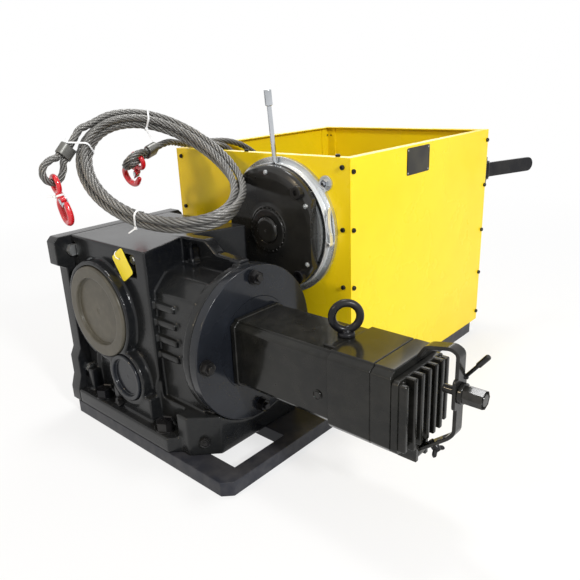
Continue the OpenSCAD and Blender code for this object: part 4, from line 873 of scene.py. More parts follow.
def keep(node: str, finish: Finish) -> None:
    """Leaves a CAD node in place and gives it a finish.

    Args:
        node: the CAD node's name.
        finish: its finish.
    """
    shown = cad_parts[node]
    shown.data.materials.clear()
    shown.data.materials.append(FINISHES.material(finish))
    LOG.info("%s keeps its CAD shape", node)


def casting(node: str, name: str, body: str, finish: Finish, voxel: float, rounds: int,
            share: float) -> Object:
    """Copies a CAD node as a casting, with every edge and inner corner run into a fillet.

    Args:
        node: the CAD node's name.
        name: the piece's name.
        body: the CAD body that it rides on.
        finish: its finish.
        voxel: the size of the remeshing cells, in millimetres.
        rounds: how often the skin is smoothed.
        share: the share of the triangles that is kept.

    Returns:
        The Blender object.
    """
    bm = bmesh.new()
    bm.from_mesh(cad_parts[node].data)
    bmesh.ops.remove_doubles(bm, verts=bm.verts, dist=CAD_WELD * MM)
    made = placed(name, bm)
    remesh = made.modifiers.new("skin", "REMESH")
    remesh.mode = "VOXEL"
    remesh.voxel_size = voxel * MM
    smooth = made.modifiers.new("fillets", "SMOOTH")
    smooth.factor = 0.5
    smooth.iterations = rounds
    fewer = made.modifiers.new("fewer_faces", "DECIMATE")
    fewer.ratio = share
    solid = bpy.data.meshes.new_from_object(made.evaluated_get(bpy.context.evaluated_depsgraph_get()))
    made.modifiers.clear()
    made.data = solid
    solid.name = name
    for face in solid.polygons:
        face.use_smooth = True
    return dress(made, body, finish, (node,))


@dataclass(frozen=True)
class Lamp:
    """One soft lamp: its place and aim in metres, the side of its square in metres and its power in watts."""

    name: str
    place: tuple
    size: float
    power: float
    aim: tuple = (0.0, 0.0, 0.25)
    tint: tuple = (1.0, 1.0, 1.0)

    def hang(self) -> None:
        """Adds the lamp to the scene."""
        data = bpy.data.lights.new(self.name, "AREA")
        data.color = self.tint
        data.size = self.size
        data.energy = self.power
        made = bpy.data.objects.new(self.name, data)
        made.location = self.place
        made.rotation_euler = (Vector(self.aim) - Vector(self.place)).to_track_quat("-Z", "Y").to_euler()
        bpy.context.scene.collection.objects.link(made)


@dataclass(frozen=True)
class Studio:
    """Pale floor, soft lamps and the camera, which was solved on the photograph, in metres."""

    place: tuple = (0.9691, -1.0801, 0.7223)
    right: tuple = (0.7316, 0.6800, -0.0487)
    up: tuple = (-0.1927, 0.2747, 0.9420)
    back: tuple = (0.6540, -0.6798, 0.3320)
    lens: float = 37.37
    sensor: float = 36.0
    shift: tuple = (0.0317, 0.0024)
    fill: float = 0.48
    floor_half: float = 14.0
    floor_grey: float = 0.86
    floor_roughness: float = 0.9
    fade_from: float = 0.7
    fade_to: float = 2.6
    glow: float = 0.72
    lamps: tuple = (
        Lamp("key_lamp", (3.0, -0.9, 1.9), 0.4, 76, aim=(0.1, 0.0, 0.25)),
        Lamp("front_lamp", (-0.6, -3.0, 1.9), 0.35, 21, tint=(1.0, 0.80, 0.52)),
        Lamp("top_lamp", (-0.3, 0.3, 3.2), 0.5, 30, aim=(0.0, 0.0, 0.2)),
        Lamp("rear_lamp", (-1.8, 2.6, 2.0), 1.8, 24),
    )

    def camera(self) -> None:
        """Sets the camera up."""
        data = bpy.data.cameras.new("camera")
        data.lens = self.lens
        data.sensor_width = self.sensor
        data.shift_x, data.shift_y = self.shift
        made = bpy.data.objects.new("camera", data)
        rows = list(zip(self.right, self.up, self.back, self.place))
        made.matrix_world = Matrix((*rows, (0, 0, 0, 1)))
        bpy.context.scene.collection.objects.link(made)
        bpy.context.scene.camera = made

    def surroundings(self) -> None:
        """Adds the white background, the floor and the lamps."""
        scene = bpy.context.scene
        scene.view_settings.view_transform = "Standard"
        scene.world = bpy.data.worlds.new("studio")
        scene.world.use_nodes = True
        nodes = Nodes(scene.world.node_tree)
        light = nodes.tree.nodes["Background"]
        seen = nodes.seen_by("Is Camera Ray", "Is Transmission Ray", "Is Glossy Ray")
        strength = nodes.add("MapRange", Value=seen, To_Min=self.fill, To_Max=1.0)
        nodes.feed(light.inputs["Strength"], strength.outputs["Result"])
        nodes.feed(light.inputs["Color"], (1, 1, 1))
        self.floor()
        for lamp in self.lamps:
            lamp.hang()

    def floor(self) -> None:
        """Lays a pale floor that keeps a soft shadow and fades to white away from the winch."""
        bm = bmesh.new()
        bmesh.ops.create_grid(bm, x_segments=1, y_segments=1, size=self.floor_half)
        made = placed("floor", bm)
        material = bpy.data.materials.new("pale_floor")
        material.use_nodes = True
        nodes = Nodes(material.node_tree)
        shader = nodes.tree.nodes["Principled BSDF"]
        nodes.feed(shader.inputs["Base Color"], (self.floor_grey,) * 3)
        nodes.feed(shader.inputs["Roughness"], self.floor_roughness)
        reach = nodes.add("VectorMath")
        reach.operation = "LENGTH"
        nodes.feed(reach.inputs[0], nodes.add("TexCoord").outputs["Object"])
        white = nodes.add("MapRange", Value=reach.outputs["Value"], From_Min=self.fade_from,
                          From_Max=self.fade_to, To_Min=self.glow, To_Max=1.0)
        share = nodes.product(nodes.seen_by("Is Camera Ray", "Is Glossy Ray"), white.outputs["Result"])
        mixed = nodes.add("MixShader")
        for place, value in enumerate((share, shader.outputs[0], nodes.add("Emission").outputs[0])):
            nodes.feed(mixed.inputs[place], value)
        nodes.feed(nodes.tree.nodes["Material Output"].inputs["Surface"], mixed.outputs[0])
        made.data.materials.append(material)


@dataclass(frozen=True)
class Oval:
    """The oval that the coil of rope A follows, in millimetres, and how its turns lie."""

    centre: Vector = field(default_factory=lambda: Vector((-89, -294, 538)))
    cos_one: Vector = field(default_factory=lambda: Vector((-63, 117, 70)))
    sin_one: Vector = field(default_factory=lambda: Vector((153, 72, -65)))
    cos_two: Vector = field(default_factory=lambda: Vector((-11, 16, -6)))
    sin_two: Vector = field(default_factory=lambda: Vector((-6, 3, -12)))
    turns: float = 3.215
    climb: float = 0.5
    pitch: float = 19.0
    spread: float = 26.0
    rings: int = 24

    def point(self, a: float) -> Vector:
        """The oval's point at an angle."""
        return (self.centre + self.cos_one * math.cos(a) + self.sin_one * math.sin(a)
                + self.cos_two * math.cos(2 * a) + self.sin_two * math.sin(2 * a))

    def way(self, a: float) -> Vector:
        """The oval's way at an angle."""
        return (-self.cos_one * math.sin(a) + self.sin_one * math.cos(a) - 2 * self.cos_two * math.sin(2 * a)
                + 2 * self.sin_two * math.cos(2 * a)).normalized()

    def out(self, a: float) -> Vector:
        """The way out of the oval, square to its own way.

        Args:
            a: the angle.

        Returns:
            A unit vector.
        """
        way = self.way(a)
        spoke = (self.point(a) - self.centre).normalized()
        return (spoke - spoke.dot(way) * way).normalized()

    def up(self, a: float) -> Vector:
        """The way across the coil, square to the other two."""
        return self.way(a).cross(self.out(a)).normalized()

    def run(self, t: float) -> Vector:
        """The rope's middle after a number of turns.

        Args:
            t: the turns from the start of the coil.

        Returns:
            The point, in millimetres.
        """
        half = (self.turns - self.climb) / 2
        if t < half:
            inward = self.spread / 2 - self.spread * t / half
        elif t < half + self.climb:
            inward = -self.spread / 2
        else:
            inward = -self.spread / 2 + self.spread * (t - half - self.climb) / half
        rise = self.pitch * max(0.0, min(1.0, (t - half) / self.climb))
        a = -TURN * t
        return self.point(a) + self.out(a) * inward + self.up(a) * rise

    def points(self) -> list:
        """The coil's points, 24 to a turn."""
        return [self.run(i / self.rings) for i in range(math.floor(self.turns * self.rings) + 1)]


def reaches(points: list) -> list:
    """Measures along a line.

    Args:
        points: the line's points.

    Returns:
        The distance from its start at each of them.
    """
    made = [0.0]
    for p, q in zip(points, points[1:]):
        made.append(made[-1] + (q - p).length)
    return made


def smooth_route(points: list, step: float) -> list:
    """Points at even distances on one smooth curve through the points given.

    Args:
        points: the points to pass through.
        step: the distance between the new ones.

    Returns:
        The new points.
    """
    padded = [2 * points[0] - points[1], *points, 2 * points[-1] - points[-2]]
    fine = []
    for a, b, c, d in zip(padded, padded[1:], padded[2:], padded[3:]):
        t1 = (b - a).length ** 0.5
        t2 = t1 + (c - b).length ** 0.5
        t3 = t2 + (d - c).length ** 0.5
        for k in range(ROUTE_PIECES):
            t = t1 + (t2 - t1) * k / ROUTE_PIECES
            p = a * (t1 - t) / t1 + b * t / t1
            q = b * (t2 - t) / (t2 - t1) + c * (t - t1) / (t2 - t1)
            r = c * (t3 - t) / (t3 - t2) + d * (t - t2) / (t3 - t2)
            pq = p * (t2 - t) / t2 + q * t / t2
            qr = q * (t3 - t) / (t3 - t1) + r * (t - t1) / (t3 - t1)
            fine.append(pq * (t2 - t) / (t2 - t1) + qr * (t - t1) / (t2 - t1))
    fine.append(points[-1])
    reach = reaches(fine)
    count = max(2, round(reach[-1] / step))
    made, at = [], 0
    for i in range(count + 1):
        goal = reach[-1] * i / count
        while at < len(fine) - 2 and reach[at + 1] < goal:
            at += 1
        span = reach[at + 1] - reach[at]
        made.append(fine[at].lerp(fine[at + 1], (goal - reach[at]) / span if span > 0 else 0))
    return made


@dataclass
class WireRope:
    """A six-strand wire rope laid along a route, in millimetres."""

    radius: float = 8.0
    strands: int = 6
    per_strand: int = 6
    lay: float = 98.0
    groove: float = 0.70
    fullness: float = 0.7
    # How quickly the painted shade of a groove fades towards the strand's crown.
    groove_shade_falloff: float = 1.9

    def lobe(self, share: float) -> float:
        """The outline's reach as a share of the rope's radius, which is one at a strand's crown."""
        return self.groove + (1 - self.groove) * math.sin(math.pi * share) ** self.fullness

    def ring(self, bm: BMesh, groove: object, point: Vector, u: Vector, v: Vector,
             twist: float) -> list:
        """Adds one ring of the rope's skin.

        Args:
            bm: the geometry that takes it.
            groove: the layer of painted shade, which is strongest deep in a groove.
            point: the rope's middle.
            u: the first way across the rope.
            v: the second way across the rope.
            twist: how far the strands have turned.

        Returns:
            The ring's vertices.
        """
        made = []
        count = self.strands * self.per_strand
        for k in range(count):
            share = (k % self.per_strand) / self.per_strand
            angle = TURN * k / count + twist
            size = self.radius * self.lobe(share)
            vert = bm.verts.new(point + (u * math.cos(angle) + v * math.sin(angle)) * size)
            # Painted shade: one deep in a groove, falling to nought towards the strand's crown.
            vert[groove] = max(0.0, 1 - math.sin(math.pi * share) * self.groove_shade_falloff)
            made.append(vert)
        return made

    def mesh(self, name: str, runs: list, step: float) -> Object:
        """Makes one or several stretches of rope as one piece.

        Args:
            name: the piece's name.
            runs: the routes.
            step: the distance between the rings.

        Returns:
            The Blender object, not yet on a body.
        """
        bm = bmesh.new()
        uv = bm.loops.layers.uv.new("UVMap")
        groove = bm.verts.layers.float.new("groove")
        count = self.strands * self.per_strand
        for route in runs:
            points = smooth_route(route, step)
            u, rings, reach, heights = None, [], 0.0, []
            for i, point in enumerate(points):
                way = (points[min(i + 1, len(points) - 1)] - points[max(i - 1, 0)]).normalized()
                u = sideways(way) if u is None else (u - u.dot(way) * way).normalized()
                v = way.cross(u)
                if i:
                    reach += (point - points[i - 1]).length
                twist = TURN * reach / self.lay
                rings.append(self.ring(bm, groove, point, u, v, twist))
                heights.append((reach, twist / TURN))
            for i in range(len(rings) - 1):
                for k in range(count):
                    corners = ((i, k), (i, k + 1), (i + 1, k + 1), (i + 1, k))
                    face = bm.faces.new([rings[row][column % count] for row, column in corners])
                    for loop, (row, column) in zip(face.loops, corners):
                        loop[uv].uv = (heights[row][0] * MM, column / count + heights[row][1])
            bm.faces.new(list(reversed(rings[0])))
            bm.faces.new(rings[-1])
        for face in bm.faces:
            face.smooth = len(face.verts) == 4
        bmesh.ops.scale(bm, vec=(MM,) * 3, verts=bm.verts)
        return placed(name, bm)


@dataclass
class Hook:
    """A safety hook with its latch: sizes in millimetres, drawn in local X and Z."""

    eye_r: float = 17.5
    eye_bar: float = 5.5
    top: float = 30.0
    shank_r: float = 8.0
    bowl_r: float = 22.0
    stretch: float = 10.0
    bar: float = 7.0
    tip: float = 16.0
    pivot: tuple = (9.0, -35.0)
    boss_r: float = 6.0
    latch_tip: tuple = (14.0, -49.2)
    cheek: float = 2.0
    latch_half: float = 8.3

    def red_part(self, shape: Shape, place: Matrix) -> None:
        """Adds the forged hook: eye, shank, bowl and tip.

        Args:
            shape: the shape that takes it.
            place: where the hook hangs.
        """
        shape.turned(ring_outline(self.eye_r, self.eye_bar, 16), ORIGIN, Y, 40, closed=True, place=place)
        neck = -self.top - self.bowl_r
        low = neck - self.stretch
        path = [(0, -self.eye_r - 1), (0, -self.top + 3)]
        path += arc_points(self.bowl_r, 105, 180, 5, z=neck) + arc_points(self.bowl_r, 180, 360, 12, z=low)
        radii = [self.shank_r, self.shank_r - 0.1] + [self.bar + 0.1] * 6
        radii += [self.bar + 0.4 * math.sin(math.pi * k / 12) - 0.03 * k for k in range(13)]
        tip = ((6, 6.3), (12, 5.9), (self.tip + 1, 5.2), (self.tip + 4.0, 3.8), (self.tip + 5.4, 1.6))
        path += [(self.bowl_r, low + height) for height, _ in tip]
        radii += [radius for _, radius in tip]
        shape.swept(upright(path), radii, 18, 0.98, X, place)
        boss = self.boss_r
        shape.turned([(0, -boss), (boss - 0.8, -boss), (boss, 0.8 - boss), (boss, boss - 0.8),
                      (boss - 0.8, boss), (0, boss)], *self.pivot_axis(), 24, place=place)
        shape.turned([(0, 0), (4.5, 0), (4.9, -1.5), (3.2, -3.0), (0, -3.4)],
                     Vector((0, 0, -self.eye_r + 3.8)), -Z, 20, place=place)

    def pivot_axis(self) -> tuple:
        """The latch's pivot and the way of its pin."""
        return Vector((self.pivot[0], 0, self.pivot[1])), Y

    def latch(self, shape: Shape, place: Matrix) -> None:
        """Adds the sprung latch with its pin, cheeks and tongue.

        Args:
            shape: the shape that takes it.
            place: where the hook hangs.
        """
        base, way = self.pivot_axis()
        half, thick = self.latch_half, self.cheek
        pin = [(0, -half), (2.0, -half), (2.5, 0.4 - half), (2.5, half - 0.4), (2.0, half), (0, half)]
        shape.turned(pin, base, way, 16, place=place)
        end = Vector((self.latch_tip[0], 0, self.latch_tip[1])) - base
        tilt = place @ Matrix.Translation(base) @ Matrix.Rotation(math.atan2(-end.z, end.x), 4, "Y")
        long = end.length
        outline = round_corners([(-4.6, -2.4), (-2.0, -4.4), (8, -3.2), (long * 0.62, -1.2),
                                 (long * 0.62, 1.0), (8, 2.6), (0, 4.4), (-4.6, 2.4)], 1.6, 2, True)
        for low in (-half, half - thick):
            shape.prism(outline, Vector((0, low + thick, 0)), X, Z, thick, 0.35, 1, tilt)
        tongue = [(6.4, 0.2), (long * 0.5, 0.3), (long * 0.8, 0.0), (long + 0.4, -0.3)]
        shape.strap(upright(tongue), Y, 16.2, 1.7, 0.3, place=tilt)


@dataclass(frozen=True)
class Tie:
    """One nylon tie of the coil: its turn round the oval, its reach, and its tail's way and length."""

    turn: float
    reach: float
    tail: tuple
    length: float


@dataclass
class Ropes:
    """Both wire ropes with their eyes, ferrules, hooks and ties, in millimetres."""

    radius: float = 8.0
    lane: float = -218.3
    step: float = 4.2
    straight: float = 16.0
    drop_r: float = 22.0
    drop_arc: float = 204.0
    drop_low: float = -66.0
    ferrule: float = 26.0
    wound_r: float = 88.3
    turns: int = 8
    tie_width: float = 4.2
    oval: Oval = field(default_factory=Oval)
    rope: WireRope = field(default_factory=WireRope)
    hook: Hook = field(default_factory=Hook)
    coil_ties: tuple = (
        Tie(0.09, 48.0, (0.75, -0.1, -0.65), 46.0),
        Tie(0.27, 30.0, (0.1, -0.4, 0.9), 9.0),
        Tie(0.49, 48.0, (-0.4, -0.8, -0.5), 18.0),
    )
    hook_tie: Tie = Tie(0.0, 9.0, (-0.7, -0.6, 0.1), 16.0)

    def __post_init__(self) -> None:
        """Works out the routes and the places of both ends."""
        coil = self.oval.points()
        start = (coil[1] - coil[0]).normalized() * self.straight
        finish = (coil[-1] - coil[-2]).normalized() * self.straight
        first, last = coil[0] - start, coil[-1] + finish
        lead = [(self.lane, 58, 276), (self.lane, 58, 310), (-215, 58, 348), (-206, 57, 384),
                (-192, 44, 418), (-172, 20, 450), (-154, -6, 485), (-138, -30, 525), (-130, -54, 558),
                (-129, -80, 576), (-133, -106, 583)]
        tail_end, self.tail_way = Vector((-236, -411, 620)), Vector((0, -0.7, -0.71)).normalized()
        self.end_a = tail_end + self.tail_way * self.straight
        self.route_a = [*map(Vector, lead), first - start, first, *coil, last, last + finish, tail_end,
                        self.end_a]
        lead_b = [(self.lane, 246, 276), (self.lane, 246, 310), (-220, 246, 345), (-224, 244, 382),
                  (-228, 232, 418), (-232, 208, 455), (-235, 178, 490), (-236, 146, 520),
                  (-236, 110, 545), (-236, 72, 563), (-237, 32, 574), (-239, -8, 578), (-241, -48, 579),
                  (-239, -86, 579), (-229, -121, 583), (-214, -155, 590), (-198, -188, 595),
                  (-188, -222, 592)]
        way_b = Vector((0.02, -0.955, -0.297)).normalized()
        end_b = Vector(lead_b[-1]) + way_b * self.straight
        self.route_b = [*map(Vector, lead_b), end_b]
        self.hang_a = Vector((0.27, 0.08, -0.96)).normalized()
        hang_b = Vector((-0.78, 0.17, -0.6)).normalized()
        loop = Vector((0, 0.7, -0.7))
        self.eye_a = frame_at(self.end_a, self.tail_way, loop)
        self.eye_b = frame_at(end_b, way_b, hang_b)
        flat = self.tail_way.cross(loop).normalized()
        down = (self.hang_a - self.hang_a.dot(flat) * flat).normalized()
        held_a = self.end_a + self.tail_way * -self.drop_low + down * self.drop_r + self.hang_a * 4
        self.hook_a = frame_at(held_a, self.hang_a, Vector((0.95, -0.17, 0.24)))
        self.hook_b = frame_at(end_b + way_b * 46 + hang_b * 17.9, hang_b, Vector((0.63, 0.24, -0.74)))

    def drop(self) -> list:
        """The outline of a rope eye, in the local frame of its end.

        Returns:
            The points, from one leg to the other.
        """
        legs = [(8.3, -self.ferrule), (8.3, -34), (16.5, -46)]
        over = self.drop_arc / 2 - 90
        bend = arc_points(self.drop_r, over, over - self.drop_arc, 16, z=self.drop_low)
        return upright(legs + bend + [(-x, z) for x, z in reversed(legs)])

    def build(self) -> None:
        """Builds the ropes, their ends and the rope wound on the drum."""
        ends = self.ends()
        tube_a = self.rope.mesh("rope_a", [self.route_a], self.step)
        dress(tube_a, "base", Finishes.ROPE, ("rope_lead_a", "rope_coil_a", "rope_tail_a"))
        tube_b = self.rope.mesh("rope_b", [self.route_b], self.step)
        dress(tube_b, "base", Finishes.ROPE, ("rope_lead_b",))
        for tube, route, lay, hung in ((tube_a, self.route_a, "coiled", ends[0]),
                                       (tube_b, self.route_b, "loose", ends[1])):
            path = [tuple(p * MM) for p in smooth_route(route, 24.0)]
            length = reaches([Vector(p) for p in path])[-1]
            LOG.info("%s is %.3f m long", tube.name, length)
        self.windings()

    def ends(self) -> list:
        """Builds the eyes, ferrules and hooks.

        Returns:
            The pieces on rope A and those on rope B, as two lists.
        """
        made = []
        thin = WireRope(radius=7.6)
        for letter, eye, hook in (("a", self.eye_a, self.hook_a), ("b", self.eye_b, self.hook_b)):
            loop = thin.mesh(f"rope_eye_{letter}", [[eye @ p for p in self.drop()]], 3.0)
            dress(loop, "base", Finishes.ROPE, ("rope_eyes",))
            sleeve = Shape()
            outline = (arc_points(11, 90, 270, 12, x=-self.radius)
                       + arc_points(11, -90, 90, 12, x=self.radius))
            sleeve.prism(outline, Vector((0, 0, -self.ferrule)), X, Y, self.ferrule, 1.6, 2, eye)
            ferrule = sleeve.piece(f"ferrule_{letter}", "base", Finishes.SLEEVE, ("rope_ferrules",))
            red = Shape()
            self.hook.red_part(red, hook)
            forged = red.piece(f"hook_{letter}", "base", Finishes.RED, ("rope_hooks",))
            sprung = Shape()
            self.hook.latch(sprung, hook)
            latch = sprung.piece(f"latch_{letter}", f"hook_latch_{letter}", Finishes.CHROME,
                                 (f"hook_{letter}_latch",))
            made.append([loop, ferrule, forged, latch])
        return made

    def windings(self) -> None:
        """Builds the rope wound on both halves of the drum."""
        drum = DrumDrive()
        first, last = 27.0, 9.0
        pitch = (drum.room - first - last) / self.turns
        angles = [TURN * i / 24 for i in range(self.turns * 24 + 1)]
        runs = []
        for start in (drum.flange, 2 * drum.flange + drum.room):
            y0 = drum.drum_y + start + first
            ring = [Vector((drum.x + self.wound_r * math.cos(a), y0 + pitch * a / TURN,
                            drum.z + self.wound_r * math.sin(a))) for a in angles]
            ring.insert(0, ring[0] - (ring[1] - ring[0]).normalized() * self.straight)
            ring.append(ring[-1] + (ring[-1] - ring[-2]).normalized() * self.straight)
            runs.append(ring)
        wound = WireRope(per_strand=4).mesh("rope_on_drum", runs, 5.0)
        dress(wound, "drum", Finishes.ROPE, ("drum_rope",))

    def crossings(self, place: Vector, way: Vector, reach: float) -> list:
        """Finds where the ropes pass through a plane.

        Args:
            place: a point of the plane.
            way: the way square to it.
            reach: how far from the point a rope still counts.

        Returns:
            Pairs of a rope's middle and its radius.
        """
        found = []
        eyes = [[eye @ p for p in self.drop()] for eye in (self.eye_a, self.eye_b)]
        for route in (self.route_a, self.route_b, *eyes):
            points = smooth_route(route, 6.0)
            for p, q in zip(points, points[1:]):
                a, b = (p - place).dot(way), (q - place).dot(way)
                if (a < 0) != (b < 0):
                    hit = p.lerp(q, a / (a - b))
                    if (hit - place).length < reach:
                        found.append((hit, self.radius + 1.1))
        return found

    def tie(self, name: str, place: Vector, way: Vector, circles: list, kind: Tie) -> None:
        """Pulls a nylon tie tight round some round bars.

        Args:
            name: the piece's name.
            place: the middle of the bundle.
            way: the bundle's way there.
            circles: pairs of a bar's middle and its radius.
            kind: the tie's loose end.
        """
        across = sideways(way)
        up = way.cross(across)
        cloud = []
        for hit, radius in circles:
            s, t = (hit - place).dot(across), (hit - place).dot(up)
            for k in range(16):
                cloud.append((s + radius * math.cos(TURN * k / 16), t + radius * math.sin(TURN * k / 16)))
        loop = [place + across * s + up * t for s, t in even_loop(convex_hull(cloud), 5.0)]
        shape = Shape()
        shape.strap(loop, way, self.tie_width, 1.3, 0.3, closed=True)
        tail = Vector(kind.tail).normalized()
        head = max(loop, key=lambda p: (p - place).dot(tail))
        out = (head - place).normalized()
        side = way.cross(out)
        foot = head + out * 2.2
        at = Matrix.Translation(foot) @ Matrix((out, way, out.cross(way))).transposed().to_4x4()
        shape.block(Vector((-2.4, -3.4, -3.2)), Vector((2.6, 3.4, 3.2)), 0.7, 2, at)
        bend = [foot + (tail * k + side * 0.3 * k * (1 - k / 6)) * kind.length / 6 for k in range(7)]
        shape.strap(bend, way, self.tie_width - 0.6, 1.1, 0.25)
        shape.piece(name, "base", Finishes.NYLON)

    def ties(self) -> None:
        """Adds the nylon ties where the photograph shows them."""
        for index, kind in enumerate(self.coil_ties):
            a = -TURN * kind.turn
            place = self.oval.point(a) + self.oval.up(a) * self.oval.pitch / 2
            way = self.oval.way(a)
            self.tie(f"cable_tie_{index + 1}", place, way, self.crossings(place, way, kind.reach), kind)
        shank = self.hook_a @ Vector((0, 0, -24))
        self.tie("cable_tie_hook_a", shank, self.hang_a, [(shank, self.hook_tie.reach)], self.hook_tie)


def convex_hull(points: list) -> list:
    """Finds the convex outline round flat points.

    Args:
        points: the points.

    Returns:
        Those on the outline, anticlockwise.
    """
    ordered = sorted(set((round(x, 4), round(y, 4)) for x, y in points))

    def half(run: list) -> list:
        """Walks one side of the outline.

        Args:
            run: all points in order.

        Returns:
            The side's points without the last.
        """
        made: list = []
        for p in run:
            while len(made) > 1:
                (ax, ay), (bx, by) = made[-2], made[-1]
                if (bx - ax) * (p[1] - ay) - (by - ay) * (p[0] - ax) > 0:
                    break
                made.pop()
            made.append(p)
        return made[:-1]

    return half(ordered) + half(ordered[::-1])


def even_loop(outline: list, step: float) -> list:
    """Places points at even distances round a closed flat outline.

    Args:
        outline: its corners.
        step: about how far apart the points are.

    Returns:
        The points.
    """
    ring = [Vector(p) for p in outline] + [Vector(outline[0])]
    reach = reaches(ring)
    count = max(8, round(reach[-1] / step))
    made, at = [], 0
    for i in range(count):
        goal = reach[-1] * i / count
        while reach[at + 1] < goal:
            at += 1
        made.append(tuple(ring[at].lerp(ring[at + 1], (goal - reach[at]) / (reach[at + 1] - reach[at]))))
    return made


@dataclass
class Gearbox:
    """The bevel gearbox: case, end plate, covers, adapter, screws, plugs and tag."""

    middle_y: float = -316.0
    motor_z: float = 232.0
    boss_y: float = -466.0
    flange_x: float = 188.0
    bore: tuple = (-130, 275)
    bevel: tuple = (-54, 143)
    disc_r: float = 158.0
    disc_bore: float = 42.0
    disc_t: float = 20.0
    disc_screws: float = 137.0
    foot_top: float = 62.0
    foot_bolts: tuple = ((-158, -471), (-158, -161), (64, -471), (64, -161))
    end_x: float = -236.0
    end_screws: tuple = ((-454, 105), (-178, 105), (-454, 392), (-178, 392))
    plug_z: float = 400.0
    tag_lean: float = -34.0
    tag_half: float = 22.0

    def build(self) -> None:
        """Builds every piece of the gearbox."""
        casting("gearbox_housing", "gearbox_case", "base", Finishes.CASTING, voxel=2.6, rounds=6, share=0.5)
        back = Shape().copied("gearbox_end_plate", 2.5)
        back.piece("gearbox_back_plate", "base", Finishes.CASTING, ("gearbox_end_plate",))
        self.covers()
        self.adapter()
        self.screws()
        self.plugs()
        self.tag()

    def covers(self) -> None:
        """Builds the round covers on both sides."""
        big = [(0, 3.2), (6, 3.2), (7, 3.9), (14, 4.1), (70, 4.1), (72, 3.6), (73.6, 4.4), (74.2, 10.2),
               (75.6, 11.8), (78, 12), (96, 12), (98.6, 11.2), (99.8, 9.0), (100, 6), (100, 0), (0, 0)]
        small = [(0, 4.4), (3, 4.4), (4, 4.1), (40, 4.1), (41.4, 5), (42, 10.4), (43.4, 11.8), (49, 12),
                 (50.4, 11.2), (51, 9.4), (51, 0), (0, 0)]
        for name, node, outline, (x, z), finish in (
                ("bore_cover", "output_bore_cover", big, self.bore, Finishes.COVER_FACE),
                ("bevel_cover", "bevel_shaft_cover", small, self.bevel, Finishes.FLANGE)):
            shape = Shape()
            shape.turned(round_corners(outline, 0.8, 2), Vector((x, self.boss_y, z)), -Y, 96)
            shape.piece(name, "base", finish, (node,))

    def adapter(self) -> None:
        """Builds the round input adapter between the case and the motor, with its face a little sunk."""
        bore, edge, thick = self.disc_bore, self.disc_r, self.disc_t
        sunk = thick - 0.8
        outline = [(bore, 0), (edge, 0), (edge, thick), (96, thick), (95, sunk), (bore, sunk)]
        shape = Shape()
        shape.turned(round_corners(outline, 2.6, 3, True),
                     Vector((self.flange_x - thick, self.middle_y, self.motor_z)), X, 120, closed=True)
        shape.piece("input_disc", "base", Finishes.FLANGE, ("input_adapter",))

    def screws(self) -> None:
        """Builds the foot screws, the adapter screws and the end plate screws."""
        sideway = Matrix.Rotation(QUARTER, 4, "Y")
        foot = Shape()
        for x, y in self.foot_bolts:
            self.hex_screw(foot, Matrix.Translation((x, y, self.foot_top)), 32, 18, 19, 3, 10, 61)
        foot.piece("foot_screws", "base", Finishes.OXIDE, ("foot_bolts",))
        ring = Shape()
        centre = Matrix.Translation((self.flange_x, self.middle_y, self.motor_z))
        for quarter in range(4):
            turn = Matrix.Rotation(TURN * quarter / 4, 4, "X")
            place = centre @ turn @ Matrix.Translation((0, self.disc_screws, 0)) @ sideway
            self.hex_screw(ring, place, 24, 11, 15, 3, 8, 40)
            ring.turned([(0, 14), (6.4, 14), (7, 13.4), (7, 18), (6.2, 19.2), (0, 19.2)], ORIGIN, Z, 20,
                        place=place)
        ring.piece("adapter_screws", "base", Finishes.OXIDE, ("adapter_bolts",))
        end = Shape()
        for y, z in self.end_screws:
            place = Matrix.Translation((self.end_x, y, z)) @ sideway
            end.hexagon(24, 12, place)
            end.rod(8, -26, 0, place)
        end.piece("back_plate_screws", "base", Finishes.ZINC, ("end_plate_bolts",))

    @staticmethod
    def hex_screw(shape: Shape, place: Matrix, flats: float, head: float, washer_r: float, washer: float,
                  shank_r: float, shank: float) -> None:
        """Adds a hexagon screw with its washer.

        Args:
            shape: the shape that takes it.
            place: its seat, with local Z out of the metal.
            flats: the size across the flats.
            head: the height of the head.
            washer_r: the washer's radius.
            washer: the washer's thickness.
            shank_r: the shank's radius.
            shank: the shank's length.
        """
        ring = round_corners([(shank_r, 0), (washer_r, 0), (washer_r, washer), (shank_r, washer)], 0.6, 2,
                             True)
        shape.turned(ring, ORIGIN, Z, 36, closed=True, place=place)
        shape.hexagon(flats, head, place @ Matrix.Translation((0, 0, washer)))
        body = [(0, -shank), (shank_r - 1.5, -shank), (shank_r, -shank + 1.5), (shank_r, washer + 1),
                (0, washer + 1)]
        shape.turned(body, ORIGIN, Z, 24, place=place)

    def plugs(self) -> None:
        """Builds the oil plugs with their sealing rings and sockets."""
        front = Matrix.Rotation(QUARTER, 4, "X")
        slanted = Matrix.Rotation(TURN / 8, 4, "Z") @ front
        filler, vent = ((x, -434, self.plug_z) for x in (-50, -21))
        dark, bright = Shape(), Shape()
        for shape, place, turn in ((dark, filler, front), (bright, vent, front),
                                   (dark, (-92, -472, 74), front), (dark, (161, -449, 62), slanted)):
            seat = Matrix.Translation(place) @ turn
            shape.hexagon(19, 7.6, seat)
            shape.turned([(0, 7.0), (5.4, 7.0), (5.8, 8.6), (5.0, 9.0), (0, 8.0)], ORIGIN, Z, 24,
                         place=seat)
            shape.rod(7, -14, 0.2, seat)
        dark.piece("oil_plug_set", "base", Finishes.OXIDE, ("oil_plugs",))
        bright.piece("vent_plug", "base", Finishes.ZINC, ("oil_plugs",))

